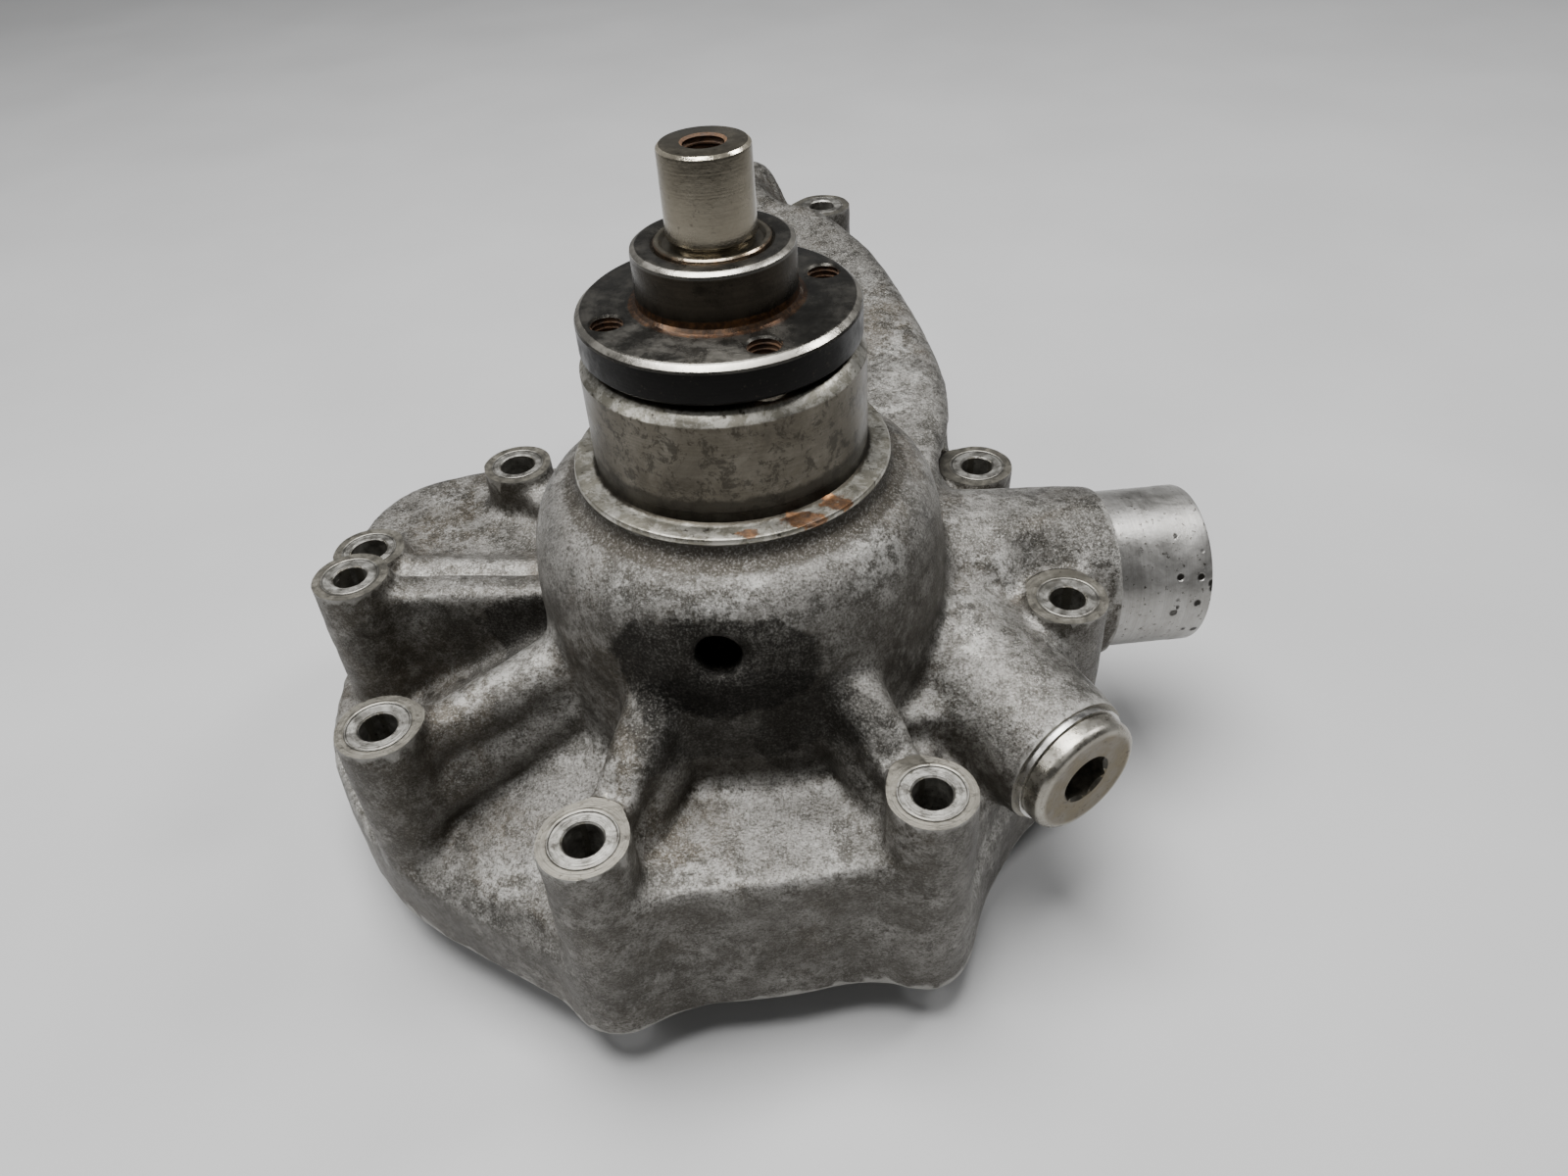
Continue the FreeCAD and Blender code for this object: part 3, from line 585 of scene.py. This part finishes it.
# A painted highlight on the chamfer at the stub's end.
stub_steel = steel_finish("ground_steel", (0.15, 0.132, 0.10), (0.26, 0.235, 0.185), 0.15,
                          rust_bands=[((12.6, 157.4, 0.9), 0.4)], highlight_bands=[(9.3, 176.8, 0.7)])


def rust_finish(name, dark, light, scale=500):
    """Scaly rust with a little bare metal showing through."""
    material, tree, shader, place = new_finish(name, 0.25, 0.75)
    scale_noise = grain(tree, place, scale, 7, 0.72)
    fine = grain(tree, place, scale * 4, 4, 0.6)
    skin = tone(tree, scale_noise, [(0.36, dark), (0.55, light), (0.72, [1.5 * c for c in light])])
    skin = paint(tree, spread(tree, fine, 0.55, 0.7, 0.0, 0.5), skin, dark)
    tree.links.new(skin, shader.inputs["Base Color"])
    tree.links.new(spread(tree, scale_noise, 0.3, 0.7, 0.55, 0.9), shader.inputs["Roughness"])
    relief(tree, shader, [(scale_noise, 0.25), (fine, 0.08)])
    return material


thread_rust = rust_finish("thread_rust", (0.035, 0.022, 0.015), (0.15, 0.083, 0.045), 420)
impeller_rust = rust_finish("impeller_rust", (0.05, 0.026, 0.016), (0.17, 0.075, 0.035), 160)

# %% [markdown]
# ## Small parts inside
# Most of these can't be seen until the pump is taken apart, but each keeps a finish of its own. They
# share one recipe: two noises, one for tone and one for the surface.

# %% Finishes of small parts
def small_part_finish(name, dark, light, metallic, roughness, scale=300, depth=0.03):
    material, tree, shader, place = new_finish(name, metallic, roughness)
    cloud = grain(tree, place, scale, 6, 0.66)
    fine = grain(tree, place, scale * 6, 3, 0.6)
    skin = tone(tree, cloud, [(0.36, dark), (0.64, light)])
    skin = paint(tree, spread(tree, fine, 0.6, 0.72, 0.0, 0.6), skin, [0.4 * c for c in dark])
    tree.links.new(skin, shader.inputs["Base Color"])
    tree.links.new(spread(tree, cloud, 0.3, 0.7, max(0.05, roughness - 0.07), roughness + 0.1),
                   shader.inputs["Roughness"])
    relief(tree, shader, [(cloud, depth), (fine, depth * 0.6)])
    return material


bearing_steel = small_part_finish("bearing_steel", (0.42, 0.41, 0.39), (0.62, 0.61, 0.59), 1.0, 0.18)
shield_steel = small_part_finish("shield_steel", (0.26, 0.24, 0.21), (0.42, 0.40, 0.37), 1.0, 0.34)
cage_steel = small_part_finish("cage_steel", (0.32, 0.29, 0.22), (0.48, 0.45, 0.38), 1.0, 0.32)
spacer_steel = small_part_finish("spacer_steel", (0.22, 0.21, 0.20), (0.36, 0.35, 0.33), 1.0, 0.36)
spring_steel = small_part_finish("spring_steel", (0.36, 0.35, 0.33), (0.52, 0.51, 0.49), 1.0, 0.25)
brass = small_part_finish("brass", (0.36, 0.24, 0.08), (0.55, 0.38, 0.15), 1.0, 0.32)
seal_rubber = small_part_finish("seal_rubber", (0.012, 0.012, 0.012), (0.028, 0.027, 0.026), 0.0, 0.6)
seal_carbon = small_part_finish("seal_carbon", (0.02, 0.02, 0.021), (0.045, 0.045, 0.047), 0.2, 0.32)
seal_ceramic = small_part_finish("seal_ceramic", (0.62, 0.60, 0.55), (0.76, 0.74, 0.69), 0.0, 0.25)
washer_aluminium = small_part_finish("washer_aluminium", (0.46, 0.45, 0.43), (0.66, 0.65, 0.62), 1.0, 0.3)
# Near-black finish for the inside of the hexagon socket: painted shade.
socket_shade = small_part_finish("socket_shade", (0.02, 0.017, 0.012), (0.09, 0.08, 0.06), 0.5, 0.5)


def plug_finish():
    """Zinc-plated steel, stained brown over the face and bright on its rounded edge."""
    material, tree, shader, place = new_finish("plated_steel", 0.95, 0.28)
    lathe, radius, height = lathe_coordinates(tree, place, PLUG_FACE, PLUG_DIR)
    cloud = grain(tree, place, 160, 8, 0.74)
    rings = grain(tree, lathe, 1500, 3, 0.6)
    skin = tone(tree, cloud, [(0.36, (0.26, 0.24, 0.20)), (0.64, (0.46, 0.44, 0.39))])
    skin = paint(tree, spread(tree, rings, 0.45, 0.7, 0.0, 0.3), skin, (0.2, 0.185, 0.15))
    on_face = calc(tree, "MULTIPLY", spread(tree, radius, 14.4 * MM, 12.6 * MM),
                   spread(tree, height, -1.2 * MM, -0.6 * MM))
    face_stain = calc(tree, "MULTIPLY", on_face, spread(tree, cloud, 0.3, 0.6, 0.55, 0.95))
    skin = paint(tree, face_stain, skin, tone(tree, cloud, [(0.35, (0.07, 0.055, 0.035)),
                                                            (0.65, (0.20, 0.17, 0.115))]))
    specks = grain(tree, place, 800, 5, 0.7)
    skin = paint(tree, spread(tree, specks, 0.58, 0.68, 0.0, 0.7), skin, GRIME_AND_SHADE)
    tree.links.new(skin, shader.inputs["Base Color"])
    tree.links.new(calc(tree, "ADD", spread(tree, cloud, 0.35, 0.65, 0.22, 0.4),
                        calc(tree, "MULTIPLY", on_face, 0.16)), shader.inputs["Roughness"])
    relief(tree, shader, [(rings, 0.02), (specks, 0.07)])
    return material


plug_steel = plug_finish()

# %% [markdown]
# ## The casting's skin
# A sand casting has no sharp inside corners: metal flows in rounded webs, and every wall leans a
# little. Bevelling each edge of the working model by hand would take days and still look drawn. The
# foundry's own way is quicker: pile up the masses, melt them into one skin with a voxel remesh, and
# smooth it, which rounds inner and outer corners alike. Machined places are cut after that, so that
# they stay crisp.

# %% Copy the working casting
def copy_of_node(node, name):
    piece = bpy.data.objects.new(name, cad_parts[node].data.copy())
    bpy.context.scene.collection.objects.link(piece)
    edit(piece)
    bpy.ops.mesh.select_all(action="SELECT")
    bpy.ops.mesh.remove_doubles(threshold=0.002 * MM)
    leave_edit()
    return piece


casting = copy_of_node("pump_housing", "cover_casting")
print("casting copy:", len(casting.data.polygons), "faces")

# %% [markdown]
# The gasket face is milled flat after casting. The walls are drawn down past it now and the bottom is
# sliced off at the end, so smoothing can't round the milled edge.

# %% Draw the walls down past the gasket face
SPARE = 6 * MM
edit(casting)
bpy.ops.mesh.select_all(action="DESELECT")
leave_edit()
for vertex in casting.data.vertices:
    vertex.select = vertex.co.z < 0.02 * MM
edit(casting)
bpy.ops.transform.translate(value=(0, 0, -SPARE))
leave_edit()

# %% [markdown]
# The ribs, the neck of the spigot and the plug's boss run into the dome in wide webs of metal. These
# could be filleted edge by edge. Cones and flattened balls pushed into the joints do the same once
# everything is melted together, and each one is easy to move.

# %% Extra metal: rib backs, necks, swellings
masses = [casting]

# rib backs: boss, thickness at the boss and at the dome, height at the boss and where it meets the dome
RIB_BACKS = [
    ("a", 5.5, 8.5, 51.5, 61.0, 47), ("b", 4.5, 8.0, 53.0, 67.0, 46), ("c", 4.5, 8.0, 53.0, 67.0, 46),
    ("b", 6.0, 10.0, 36.0, 56.0, 49), ("c", 6.0, 10.0, 36.0, 56.0, 49),
    ("a", 8.0, 11.0, 34.0, 50.0, 49),
]
for boss, thin, thick, low, high, reach in RIB_BACKS:
    outer = Vector((*BOSSES[boss][:2], 0))
    inner = outer.normalized() * reach
    masses.append(rod(thin * MM, (outer + Vector((0, 0, low))) * MM,
                      (inner + Vector((0, 0, high))) * MM, radius_end=thick * MM))
neck_root = SPIGOT_END - SPIGOT_DIR * 80 * MM
neck_step = SPIGOT_END - SPIGOT_DIR * (SPIGOT_LENGTH - 2) * MM
masses.append(rod(26.5 * MM, neck_root, neck_step, segments=64, radius_end=23.7 * MM))
plug_seat = PLUG_FACE - PLUG_DIR * PLUG_SEAT_DEPTH * MM
masses.append(rod(22 * MM, plug_seat - PLUG_DIR * 46 * MM, plug_seat + PLUG_DIR * 2 * MM,
                  segments=64, radius_end=17.4 * MM))


def blob(x, y, z, rx, ry, rz, turn=0.0):
    """Rounded swelling of cast metal, in millimetres."""
    bpy.ops.object.select_all(action="DESELECT")
    bpy.ops.mesh.primitive_uv_sphere_add(
        segments=40, ring_count=24, radius=1.0, location=(x * MM, y * MM, z * MM),
        scale=(rx * MM, ry * MM, rz * MM), rotation=(0, 0, math.radians(turn)))
    return bpy.context.object


masses.append(blob(48, -6, 42, 30, 26, 22))       # cheek between dome, plug boss and spigot
masses.append(blob(20, 44, 60, 34, 24, 22))       # saddle where the duct arm leaves the dome
casting = join(masses, "cover_casting")
print("masses piled up:", len(casting.data.polygons), "faces")

# %% [markdown]
# A boss stands clear of the web beside it, because a bolt head has to fit. So the web is dished out
# round each boss first, and the boss's own column is stood in the dish afterwards.

# %% Clear a dish round each boss, then stand the columns in it
VOXEL = 1.25 * MM
DISH_R, DISH_MOUTH_R, COLUMN_R = 12.2 * MM, 24 * MM, 10.4 * MM
apply_modifier(casting, "REMESH", mode="VOXEL", voxel_size=VOXEL)
dishes = []
columns = [casting]
for x, y, top, _ in BOSSES.values():
    spot = Vector((x, y, 0)) * MM
    dishes.append(rod(DISH_R, spot + Vector((0, 0, (top - 1.4) * MM)),
                      spot + Vector((0, 0, (top + 12) * MM)), radius_end=DISH_MOUTH_R))
    columns.append(rod(COLUMN_R, spot - Vector((0, 0, SPARE)), spot + Vector((0, 0, (top + 3) * MM))))
for dish in dishes:
    apply_modifier(casting, "BOOLEAN", operation="DIFFERENCE", solver="MANIFOLD", object=dish)
    bpy.data.objects.remove(dish)
casting = join(columns, "cover_casting")

# %% Melt into one skin and smooth it
apply_modifier(casting, "REMESH", mode="VOXEL", voxel_size=VOXEL, use_smooth_shade=True)
print("remeshed:", len(casting.data.polygons), "faces")
apply_modifier(casting, "SMOOTH", factor=0.5, iterations=24)

# %% [markdown]
# No wall from a hand-packed sand mould is quite even. Sculpting the waves would work too, but a cloud
# texture of a few millimetres, less than a millimetre deep, gives them all over. The skin is then
# thinned out to as many triangles as it needs.

# %% Uneven hand-moulded surface
unevenness = bpy.data.textures.new("sand_mould", "CLOUDS")
unevenness.noise_scale = 9 * MM
unevenness.noise_depth = 3
apply_modifier(casting, "DISPLACE", texture=unevenness, strength=0.7 * MM, mid_level=0.5,
               texture_coords="LOCAL")
TRIANGLES_KEPT = 150000
triangles = 2 * len(casting.data.polygons)
apply_modifier(casting, "DECIMATE", ratio=min(1.0, TRIANGLES_KEPT / triangles))
print("casting skin:", len(casting.data.polygons), "triangles")

# %% [markdown]
# ## Machining the casting
# The nose, the plug's seat and the spigot's shoulder are cleared in one go, then each boss is
# spot-faced, drilled and countersunk. Every cutter is a plain rod or cone that stands where the tool
# would stand, and a boolean takes it away from the skin.

# %% Cutters
def cut(piece, cutters, name):
    """Boolean difference with all cutters joined, then the cutters are thrown away."""
    tool = join(cutters, name)
    apply_modifier(piece, "BOOLEAN", operation="DIFFERENCE", solver="MANIFOLD", object=tool)
    bpy.data.objects.remove(tool)
    print(name, "leaves", len(piece.data.polygons), "faces")


SPOT_FACER_R = 11.4 * MM
spigot_step = SPIGOT_END - SPIGOT_DIR * SPIGOT_LENGTH * MM
cut(casting, [
    rod(46 * MM, (0, 0, NOSE_SPLIT_Z * MM), (0, 0, 145 * MM), segments=96),
    rod(WEEP_R * MM, (WEEP_X * MM, -30 * MM, WEEP_Z * MM), (WEEP_X * MM, -60 * MM, WEEP_Z * MM)),
    rod(21 * MM, plug_seat, plug_seat + PLUG_DIR * 20 * MM, segments=64),
    rod(31 * MM, spigot_step, SPIGOT_END + SPIGOT_DIR * 9 * MM, segments=96)], "turning_cutters")
for x, y, top, hole in BOSSES.values():
    spot = Vector((x, y, 0)) * MM
    cut(casting, [rod(SPOT_FACER_R, spot + Vector((0, 0, top * MM)),
                      spot + Vector((0, 0, (top + 9) * MM)), segments=64)], "spot_facer")
    cut(casting, [rod(hole * MM, spot + Vector((0, 0, -9 * MM)), spot + Vector((0, 0, (top + 9) * MM)),
                      segments=48)], "drill")
    cut(casting, [rod((hole - 0.25) * MM, spot + Vector((0, 0, (top - 0.7) * MM)),
                      spot + Vector((0, 0, (top + 0.3) * MM)), segments=48,
                      radius_end=(hole + 0.7) * MM)], "countersink")

# %% [markdown]
# The spare metal below the gasket face comes off in one flat cut, as on a milling machine.

# %% Slice the gasket face flat
edit(casting)
bpy.ops.mesh.select_all(action="SELECT")
bpy.ops.mesh.bisect(plane_co=(0, 0, 0), plane_no=(0, 0, 1), use_fill=True, clear_inner=True)
leave_edit()
soften(casting, 38)
print("casting machined:", len(casting.data.polygons), "faces")

# %% [markdown]
# Machined metal shines where the cast skin is dull, so its faces need a finish of their own. Picking
# them by hand would take long. A cut face always lies on its cutter's plane or wall, and that is how
# it is told here.

# %% Which faces are machined
def cutter_axis(face):
    """The point that a machined face was turned about, or None where the face is as cast."""
    c = face.center / MM
    if abs(c.z) < 0.05:
        return Vector((0, 0, 0))
    for x, y, top, hole in BOSSES.values():
        reach = math.hypot(c.x - x, c.y - y)
        on_top = abs(c.z - top) < 0.05 and reach < BOSS_R + 2.5
        in_hole = reach < hole + 0.45 and abs(face.normal.z) < 0.9
        if on_top or in_hole:
            return Vector((x, y, c.z)) * MM
    for seat, direction, reach in ((plug_seat, PLUG_DIR, 24), (spigot_step, SPIGOT_DIR, 32)):
        off_seat = (face.center - seat).dot(direction) / MM
        if abs(off_seat) < 0.05 and (face.center - seat).length < reach * MM:
            return seat
    return None


def mark_machined(piece, slot_index):
    """Give machined faces their own slot, and store where each corner is from its cutter's axis."""
    offsets = [0.0] * (3 * len(piece.data.vertices))
    marked = 0
    for face in piece.data.polygons:
        axis = cutter_axis(face)
        if axis is None:
            continue
        face.material_index = slot_index
        marked += 1
        for index in face.vertices:
            offsets[3 * index:3 * index + 3] = piece.data.vertices[index].co - axis
    place = piece.data.attributes.new("cutter_place", "FLOAT_VECTOR", "POINT")
    place.data.foreach_set("vector", offsets)
    print("machined faces:", marked)


wear(casting, cast_aluminium, faced_aluminium)
mark_machined(casting, 1)
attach(casting, "housing")
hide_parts("pump_housing")

# %% [markdown]
# ## The bearing nose and its collar
# Above the dome the casting is turned: a nose with a chamfered rim, and at its foot a narrow collar.
# On the real pump they are one with the casting. Here they are turned as a piece of their own that
# starts inside the dome, because a melted skin could never be as crisp as lathe work.

# %% Turn the nose
nose = turned("bearing_nose", [
    (26.0, 105.2), (26.0, 130.5), (27.6, 130.5), (27.6, 132.25), (26.0, 132.25), (26.0, 133.3),
    (26.5, 133.8), (29.3, 133.8), (29.7, 133.65), (31.6, 131.5), (31.9, 131.1), (31.9, 110.2),
    (31.6, 109.9), (31.6, 108.6), (31.8, 107.6), (32.5, 107.15), (33.2, 107.0), (36.3, 107.0),
    (36.9, 106.8), (37.15, 106.4), (37.2, 105.7), (36.9, 105.2)], segments=192)
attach(nose, "housing")

# %% [markdown]
# A puller has bitten into the collar, mostly at the front right. Each bite is a lumpy ball taken away
# from the edge.

# %% Chip the collar
def bite(angle, radius, height, size):
    turn = math.radians(angle)
    bpy.ops.object.select_all(action="DESELECT")
    bpy.ops.mesh.primitive_ico_sphere_add(
        subdivisions=3, radius=size * MM,
        location=(radius * math.cos(turn) * MM, radius * math.sin(turn) * MM, height * MM),
        scale=(1.5, 0.8, 0.7), rotation=(0.3, 0.2, turn + math.pi / 2))
    lump = settle(bpy.context.object, "bite")
    return apply_modifier(lump, "DISPLACE", texture=unevenness, strength=1.6 * MM, mid_level=0.5)


cut(nose, [bite(-76, 38.3, 106.9, 1.4), bite(-67, 38.0, 107.2, 1.6), bite(-60, 38.2, 106.6, 1.8),
           bite(-52, 38.1, 107.1, 1.5), bite(-44, 38.5, 106.8, 1.5), bite(-128, 38.6, 107.0, 1.3),
           bite(160, 38.4, 107.3, 1.4)], "collar_bites")
soften(nose, 30)
wear(nose, nose_aluminium)

# %% [markdown]
# ## The hose spigot
# The hose is clamped on a turned cylinder with a rounded lip. It is turned about Z at the world origin,
# like all lathe work here, and then carried to its place along the neck.

# %% Turn the spigot
spigot = turned("hose_spigot", [
    (18.0, -34.0), (18.0, -0.9), (18.9, 0.0), (21.2, 0.0), (21.8, -0.25), (22.0, -0.8),
    (22.0, -5.2), (21.9, -5.6), (21.9, -24.9), (22.1, -25.7), (22.9, -26.3), (22.9, -34.0)],
    segments=128)
move_to(spigot, SPIGOT_END, SPIGOT_DIR)
soften(spigot, 30)
wear(spigot, spigot_aluminium)
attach(spigot, "housing")

# %% [markdown]
# ## The hub
# The pulley flange and its sleeve are one turned part with four tapped holes. Its edges are broken
# with a wide chamfer, round which a painted highlight runs. The threads are cut as rings one pitch
# apart: at this size nobody can tell them from a helix, and they stay light.

# %% Turn the hub
HUB_BOLT_R = 25
HUB_TOP = 144.4
hub_turns = [math.radians(25.3 + 90 * step) for step in range(4)]
hub_holes = [(HUB_BOLT_R * math.cos(turn), HUB_BOLT_R * math.sin(turn)) for turn in hub_turns]
M8_THREAD = (1.25, 3.4, 4.05)       # pitch, minor and major radius
M10_THREAD = (1.5, 4.25, 5.0)
hub = turned("pulley_hub", [
    (12.55, 131.0), (16.0, 131.0), (16.0, 135.4), (30.3, 135.4), (31.15, 136.3), (31.15, 142.7),
    (30.9, 143.25), (29.6, 144.3), (29.3, 144.4), (19.4, 144.4), (18.3, 144.75), (17.7, 145.5),
    (17.5, 146.6), (17.5, 155.9), (17.35, 156.6), (16.6, 157.15), (16.0, 157.3), (13.6, 157.3),
    (13.1, 157.1), (12.55, 156.5)], segments=192)


def thread_cutter(x, y, top, depth, thread):
    """Plug of stacked rings, the shape that a tap leaves behind, with a countersink on top."""
    pitch, minor, major = thread
    profile = [(minor, top - depth)]
    turns = int((depth - 0.4) / pitch)
    for turn in range(turns):
        z = top - 0.35 - (turns - turn) * pitch
        profile += [(minor, z + 0.08 * pitch), (major, z + 0.44 * pitch), (major, z + 0.56 * pitch),
                    (minor, z + 0.92 * pitch)]
    profile += [(minor, top - 0.5), (minor + 0.9, top + 0.4), (minor + 0.9, top + 3)]
    return move_to(turned("tap", profile, 40, solid=True), (x * MM, y * MM, 0), (0, 0, 1))


cut(hub, [thread_cutter(x, y, HUB_TOP, 12, M8_THREAD) for x, y in hub_holes], "hub_taps")
soften(hub, 24)
wear(hub, hub_steel, hub_side_steel, thread_rust, sleeve_steel)
for face in hub.data.polygons:
    c = face.center / MM
    reach = math.hypot(c.x, c.y)
    if c.z < HUB_TOP - 0.3 and any(math.hypot(c.x - x, c.y - y) < 4.4 for x, y in hub_holes):
        face.material_index = 2
    elif c.z < 142.9 and reach > 30.0 or c.z < 136:
        face.material_index = 1
    elif reach < 17.7 and 145.4 < c.z < 156.0:
        face.material_index = 3
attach(hub, "rotor")
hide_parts("hub_flange")

# %% [markdown]
# ## The shaft
# Only its end and the ground stub can be seen. The undercut at the stub's foot stays as a dark line,
# and the tapped hole is open, with rust on its crests.

# %% Turn the shaft
STUB_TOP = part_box("pump_shaft")[1].z / MM
shaft = turned("shaft_with_stub", [
    (7.5, -14.0), (8.0, -13.5), (8.0, 28.0), (10.0, 28.0), (10.0, 84.0), (14.7, 84.0), (15.2, 84.5),
    (15.2, 90.0), (12.5, 90.0), (12.5, 157.0), (12.4, 157.5), (12.0, 157.8), (11.3, 157.75),
    (10.9, 157.3), (10.6, 156.9), (9.0, 156.8), (9.0, 158.2), (9.35, 158.5), (9.6, 158.9),
    (9.6, 176.1), (9.5, 176.5), (9.0, 177.0), (8.7, STUB_TOP)], solid=True)
cut(shaft, [thread_cutter(0, 0, STUB_TOP, 22, M10_THREAD)], "stub_tap")
soften(shaft, 24)
wear(shaft, stub_steel, thread_rust)
for face in shaft.data.polygons:
    c = face.center / MM
    if math.hypot(c.x, c.y) < 5.1 and 150 < c.z < STUB_TOP - 0.05:
        face.material_index = 1
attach(shaft, "rotor")
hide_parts("pump_shaft")

# %% [markdown]
# ## The screw plug
# A round-headed plug closes the cleaning bore. Its face has a hexagon socket, worn at the corners.
# The thread behind it never shows, so it stays a plain bar with the thread's outer size.

# %% Turn the plug
plug = turned("screw_plug", [
    (12.0, -19.5), (12.9, -18.6), (12.9, -7.0), (12.2, -6.4), (12.2, -5.5), (15.1, -5.5),
    (15.5, -5.1), (15.5, -2.3), (15.4, -1.5), (15.0, -0.75), (14.4, -0.25), (13.6, 0.0),
    (13.0, -0.02), (12.3, -0.2), (9.0, -0.4)], solid=True)
SOCKET_AF = 12.0
bpy.ops.object.select_all(action="DESELECT")
bpy.ops.mesh.primitive_cylinder_add(vertices=6, radius=SOCKET_AF / 2 / math.cos(math.radians(30)) * MM,
                                    depth=20 * MM, location=(0, 0, 1 * MM),
                                    rotation=(0, 0, math.radians(10)))
key = settle(bpy.context.object, "key")
apply_modifier(key, "BEVEL", width=0.5 * MM, segments=2, limit_method="ANGLE")
cut(plug, [key], "hex_key")
mouth = rod(6.1 * MM, (0, 0, -1.2 * MM), (0, 0, 0.4 * MM), 48, radius_end=7.7 * MM)
cut(plug, [mouth], "socket_mouth")
move_to(plug, PLUG_FACE, PLUG_DIR)
soften(plug, 24)
wear(plug, plug_steel, socket_shade)
# Faces inside the hexagon socket take the finish painted dark as shade.
for face in plug.data.polygons:
    depth = (face.center - PLUG_FACE).dot(PLUG_DIR) / MM
    out = (face.center - PLUG_FACE - PLUG_DIR * depth * MM).length / MM
    if out < 7.2 and -16 < depth < -0.7:
        face.material_index = 1
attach(plug, "housing")
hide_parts("blanking_plug")

# %% [markdown]
# ## The impeller
# It is a rough iron casting, so it gets the same treatment as the cover, with a finer voxel: melted,
# rounded by a few smoothing passes, and thinned out. Its bore is reamed again afterwards.

# %% Cast the impeller
impeller = copy_of_node("impeller", "cast_impeller")
apply_modifier(impeller, "REMESH", mode="VOXEL", voxel_size=0.8 * MM, use_smooth_shade=True)
apply_modifier(impeller, "SMOOTH", factor=0.5, iterations=8)
apply_modifier(impeller, "DISPLACE", texture=unevenness, strength=0.4 * MM, mid_level=0.5,
               texture_coords="LOCAL")
IMPELLER_TRIANGLES = 50000
apply_modifier(impeller, "DECIMATE",
               ratio=min(1.0, IMPELLER_TRIANGLES / (2 * len(impeller.data.polygons))))
impeller_foot, impeller_head = (corner.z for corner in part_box("impeller"))
cut(impeller, [rod(8.0 * MM, (0, 0, impeller_foot - 0.01), (0, 0, impeller_head + 0.01), 64)],
    "impeller_reamer")
cut(impeller, [rod(60 * MM, (0, 0, impeller_foot - 0.01), (0, 0, impeller_foot + 0.0002), 64)],
    "impeller_facer")
soften(impeller, 45)
wear(impeller, impeller_rust)
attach(impeller, "rotor")
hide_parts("impeller")

# %% [markdown]
# ## Finishes for the pieces that keep their CAD shape
# A bearing ring or a seal is already right to the hundredth, so only its finish changes.

# %% Assign finishes by slot
by_part = {
    "impeller": impeller_rust, "outer_spacer": spacer_steel, "inner_spacer": spacer_steel,
    "bearing_circlip": spring_steel, "seal_spring": spring_steel, "water_slinger": brass,
    "seal_cup": brass, "counter_ring_cup": brass, "seal_bellows": seal_rubber,
    "seal_carbon_ring": seal_carbon, "seal_counter_ring": seal_ceramic,
    "plug_washer": washer_aluminium,
}
for name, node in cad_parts.items():
    finish = by_part.get(name)
    if finish is None and "shield" in name:
        finish = shield_steel
    elif finish is None and "cage" in name:
        finish = cage_steel
    elif finish is None:
        finish = bearing_steel
    wear(node, finish)
    for face_slot in node.material_slots:
        face_slot.material = finish

# %% [markdown]
# ## Floor and light
# The pump stands on its impeller on a plain pale floor. A wide lamp overhead gives soft shadows, and
# three weak ones at the sides and in front show the edges. A world of even light alone would be
# simpler, but metal needs bright and dark places to reflect.

# %% Floor and light
bpy.ops.object.select_all(action="DESELECT")
bpy.ops.mesh.primitive_plane_add(size=16, location=(0, 0, FLOOR_Z))
floor = settle(bpy.context.object, "floor")


def soft_light(name, place, target, size, watts):
    data = bpy.data.lights.new(name, "AREA")
    data.shape = "DISK"
    data.size = size
    data.energy = watts
    lamp = bpy.data.objects.new(name, data)
    bpy.context.scene.collection.objects.link(lamp)
    place, target = Vector(place), Vector(target)
    lamp.matrix_world = Matrix.Translation(place) @ (
        (target - place).to_track_quat("-Z", "Y").to_matrix().to_4x4())


soft_light("ceiling", (-0.15, 0.05, 1.3), (0, 0.02, 0.04), 0.9, 33)
soft_light("window_right", (0.8, 0.35, 1.1), (0.03, 0.0, 0.05), 0.35, 6)
soft_light("window_left", (-1.0, -0.3, 0.8), (0, 0.0, 0.06), 0.35, 2.5)
soft_light("room_front", (0.1, -1.0, 1.1), (0, 0.0, 0.06), 0.5, 1)
world = bpy.data.worlds.new("studio")
world.use_nodes = True
world.node_tree.nodes["Background"].inputs["Color"].default_value = (0.95, 0.97, 1.0, 1)
world.node_tree.nodes["Background"].inputs["Strength"].default_value = 0.12
bpy.context.scene.world = world

# %% Floor finish
paper = bpy.data.materials.new("pale_floor")
paper.use_nodes = True
floor_tree = paper.node_tree
floor_shader = floor_tree.nodes["Principled BSDF"]
floor_place = add(floor_tree, "TexCoord").outputs["Object"]
floor_noise = grain(floor_tree, floor_place, 9, 4, 0.5)
floor_tone = tone(floor_tree, floor_noise, [(0.3, (0.46, 0.46, 0.46)), (0.7, (0.50, 0.50, 0.50))])
floor_tree.links.new(floor_tone, floor_shader.inputs["Base Color"])
floor_shader.inputs["Roughness"].default_value = 0.55
floor.data.materials.append(paper)
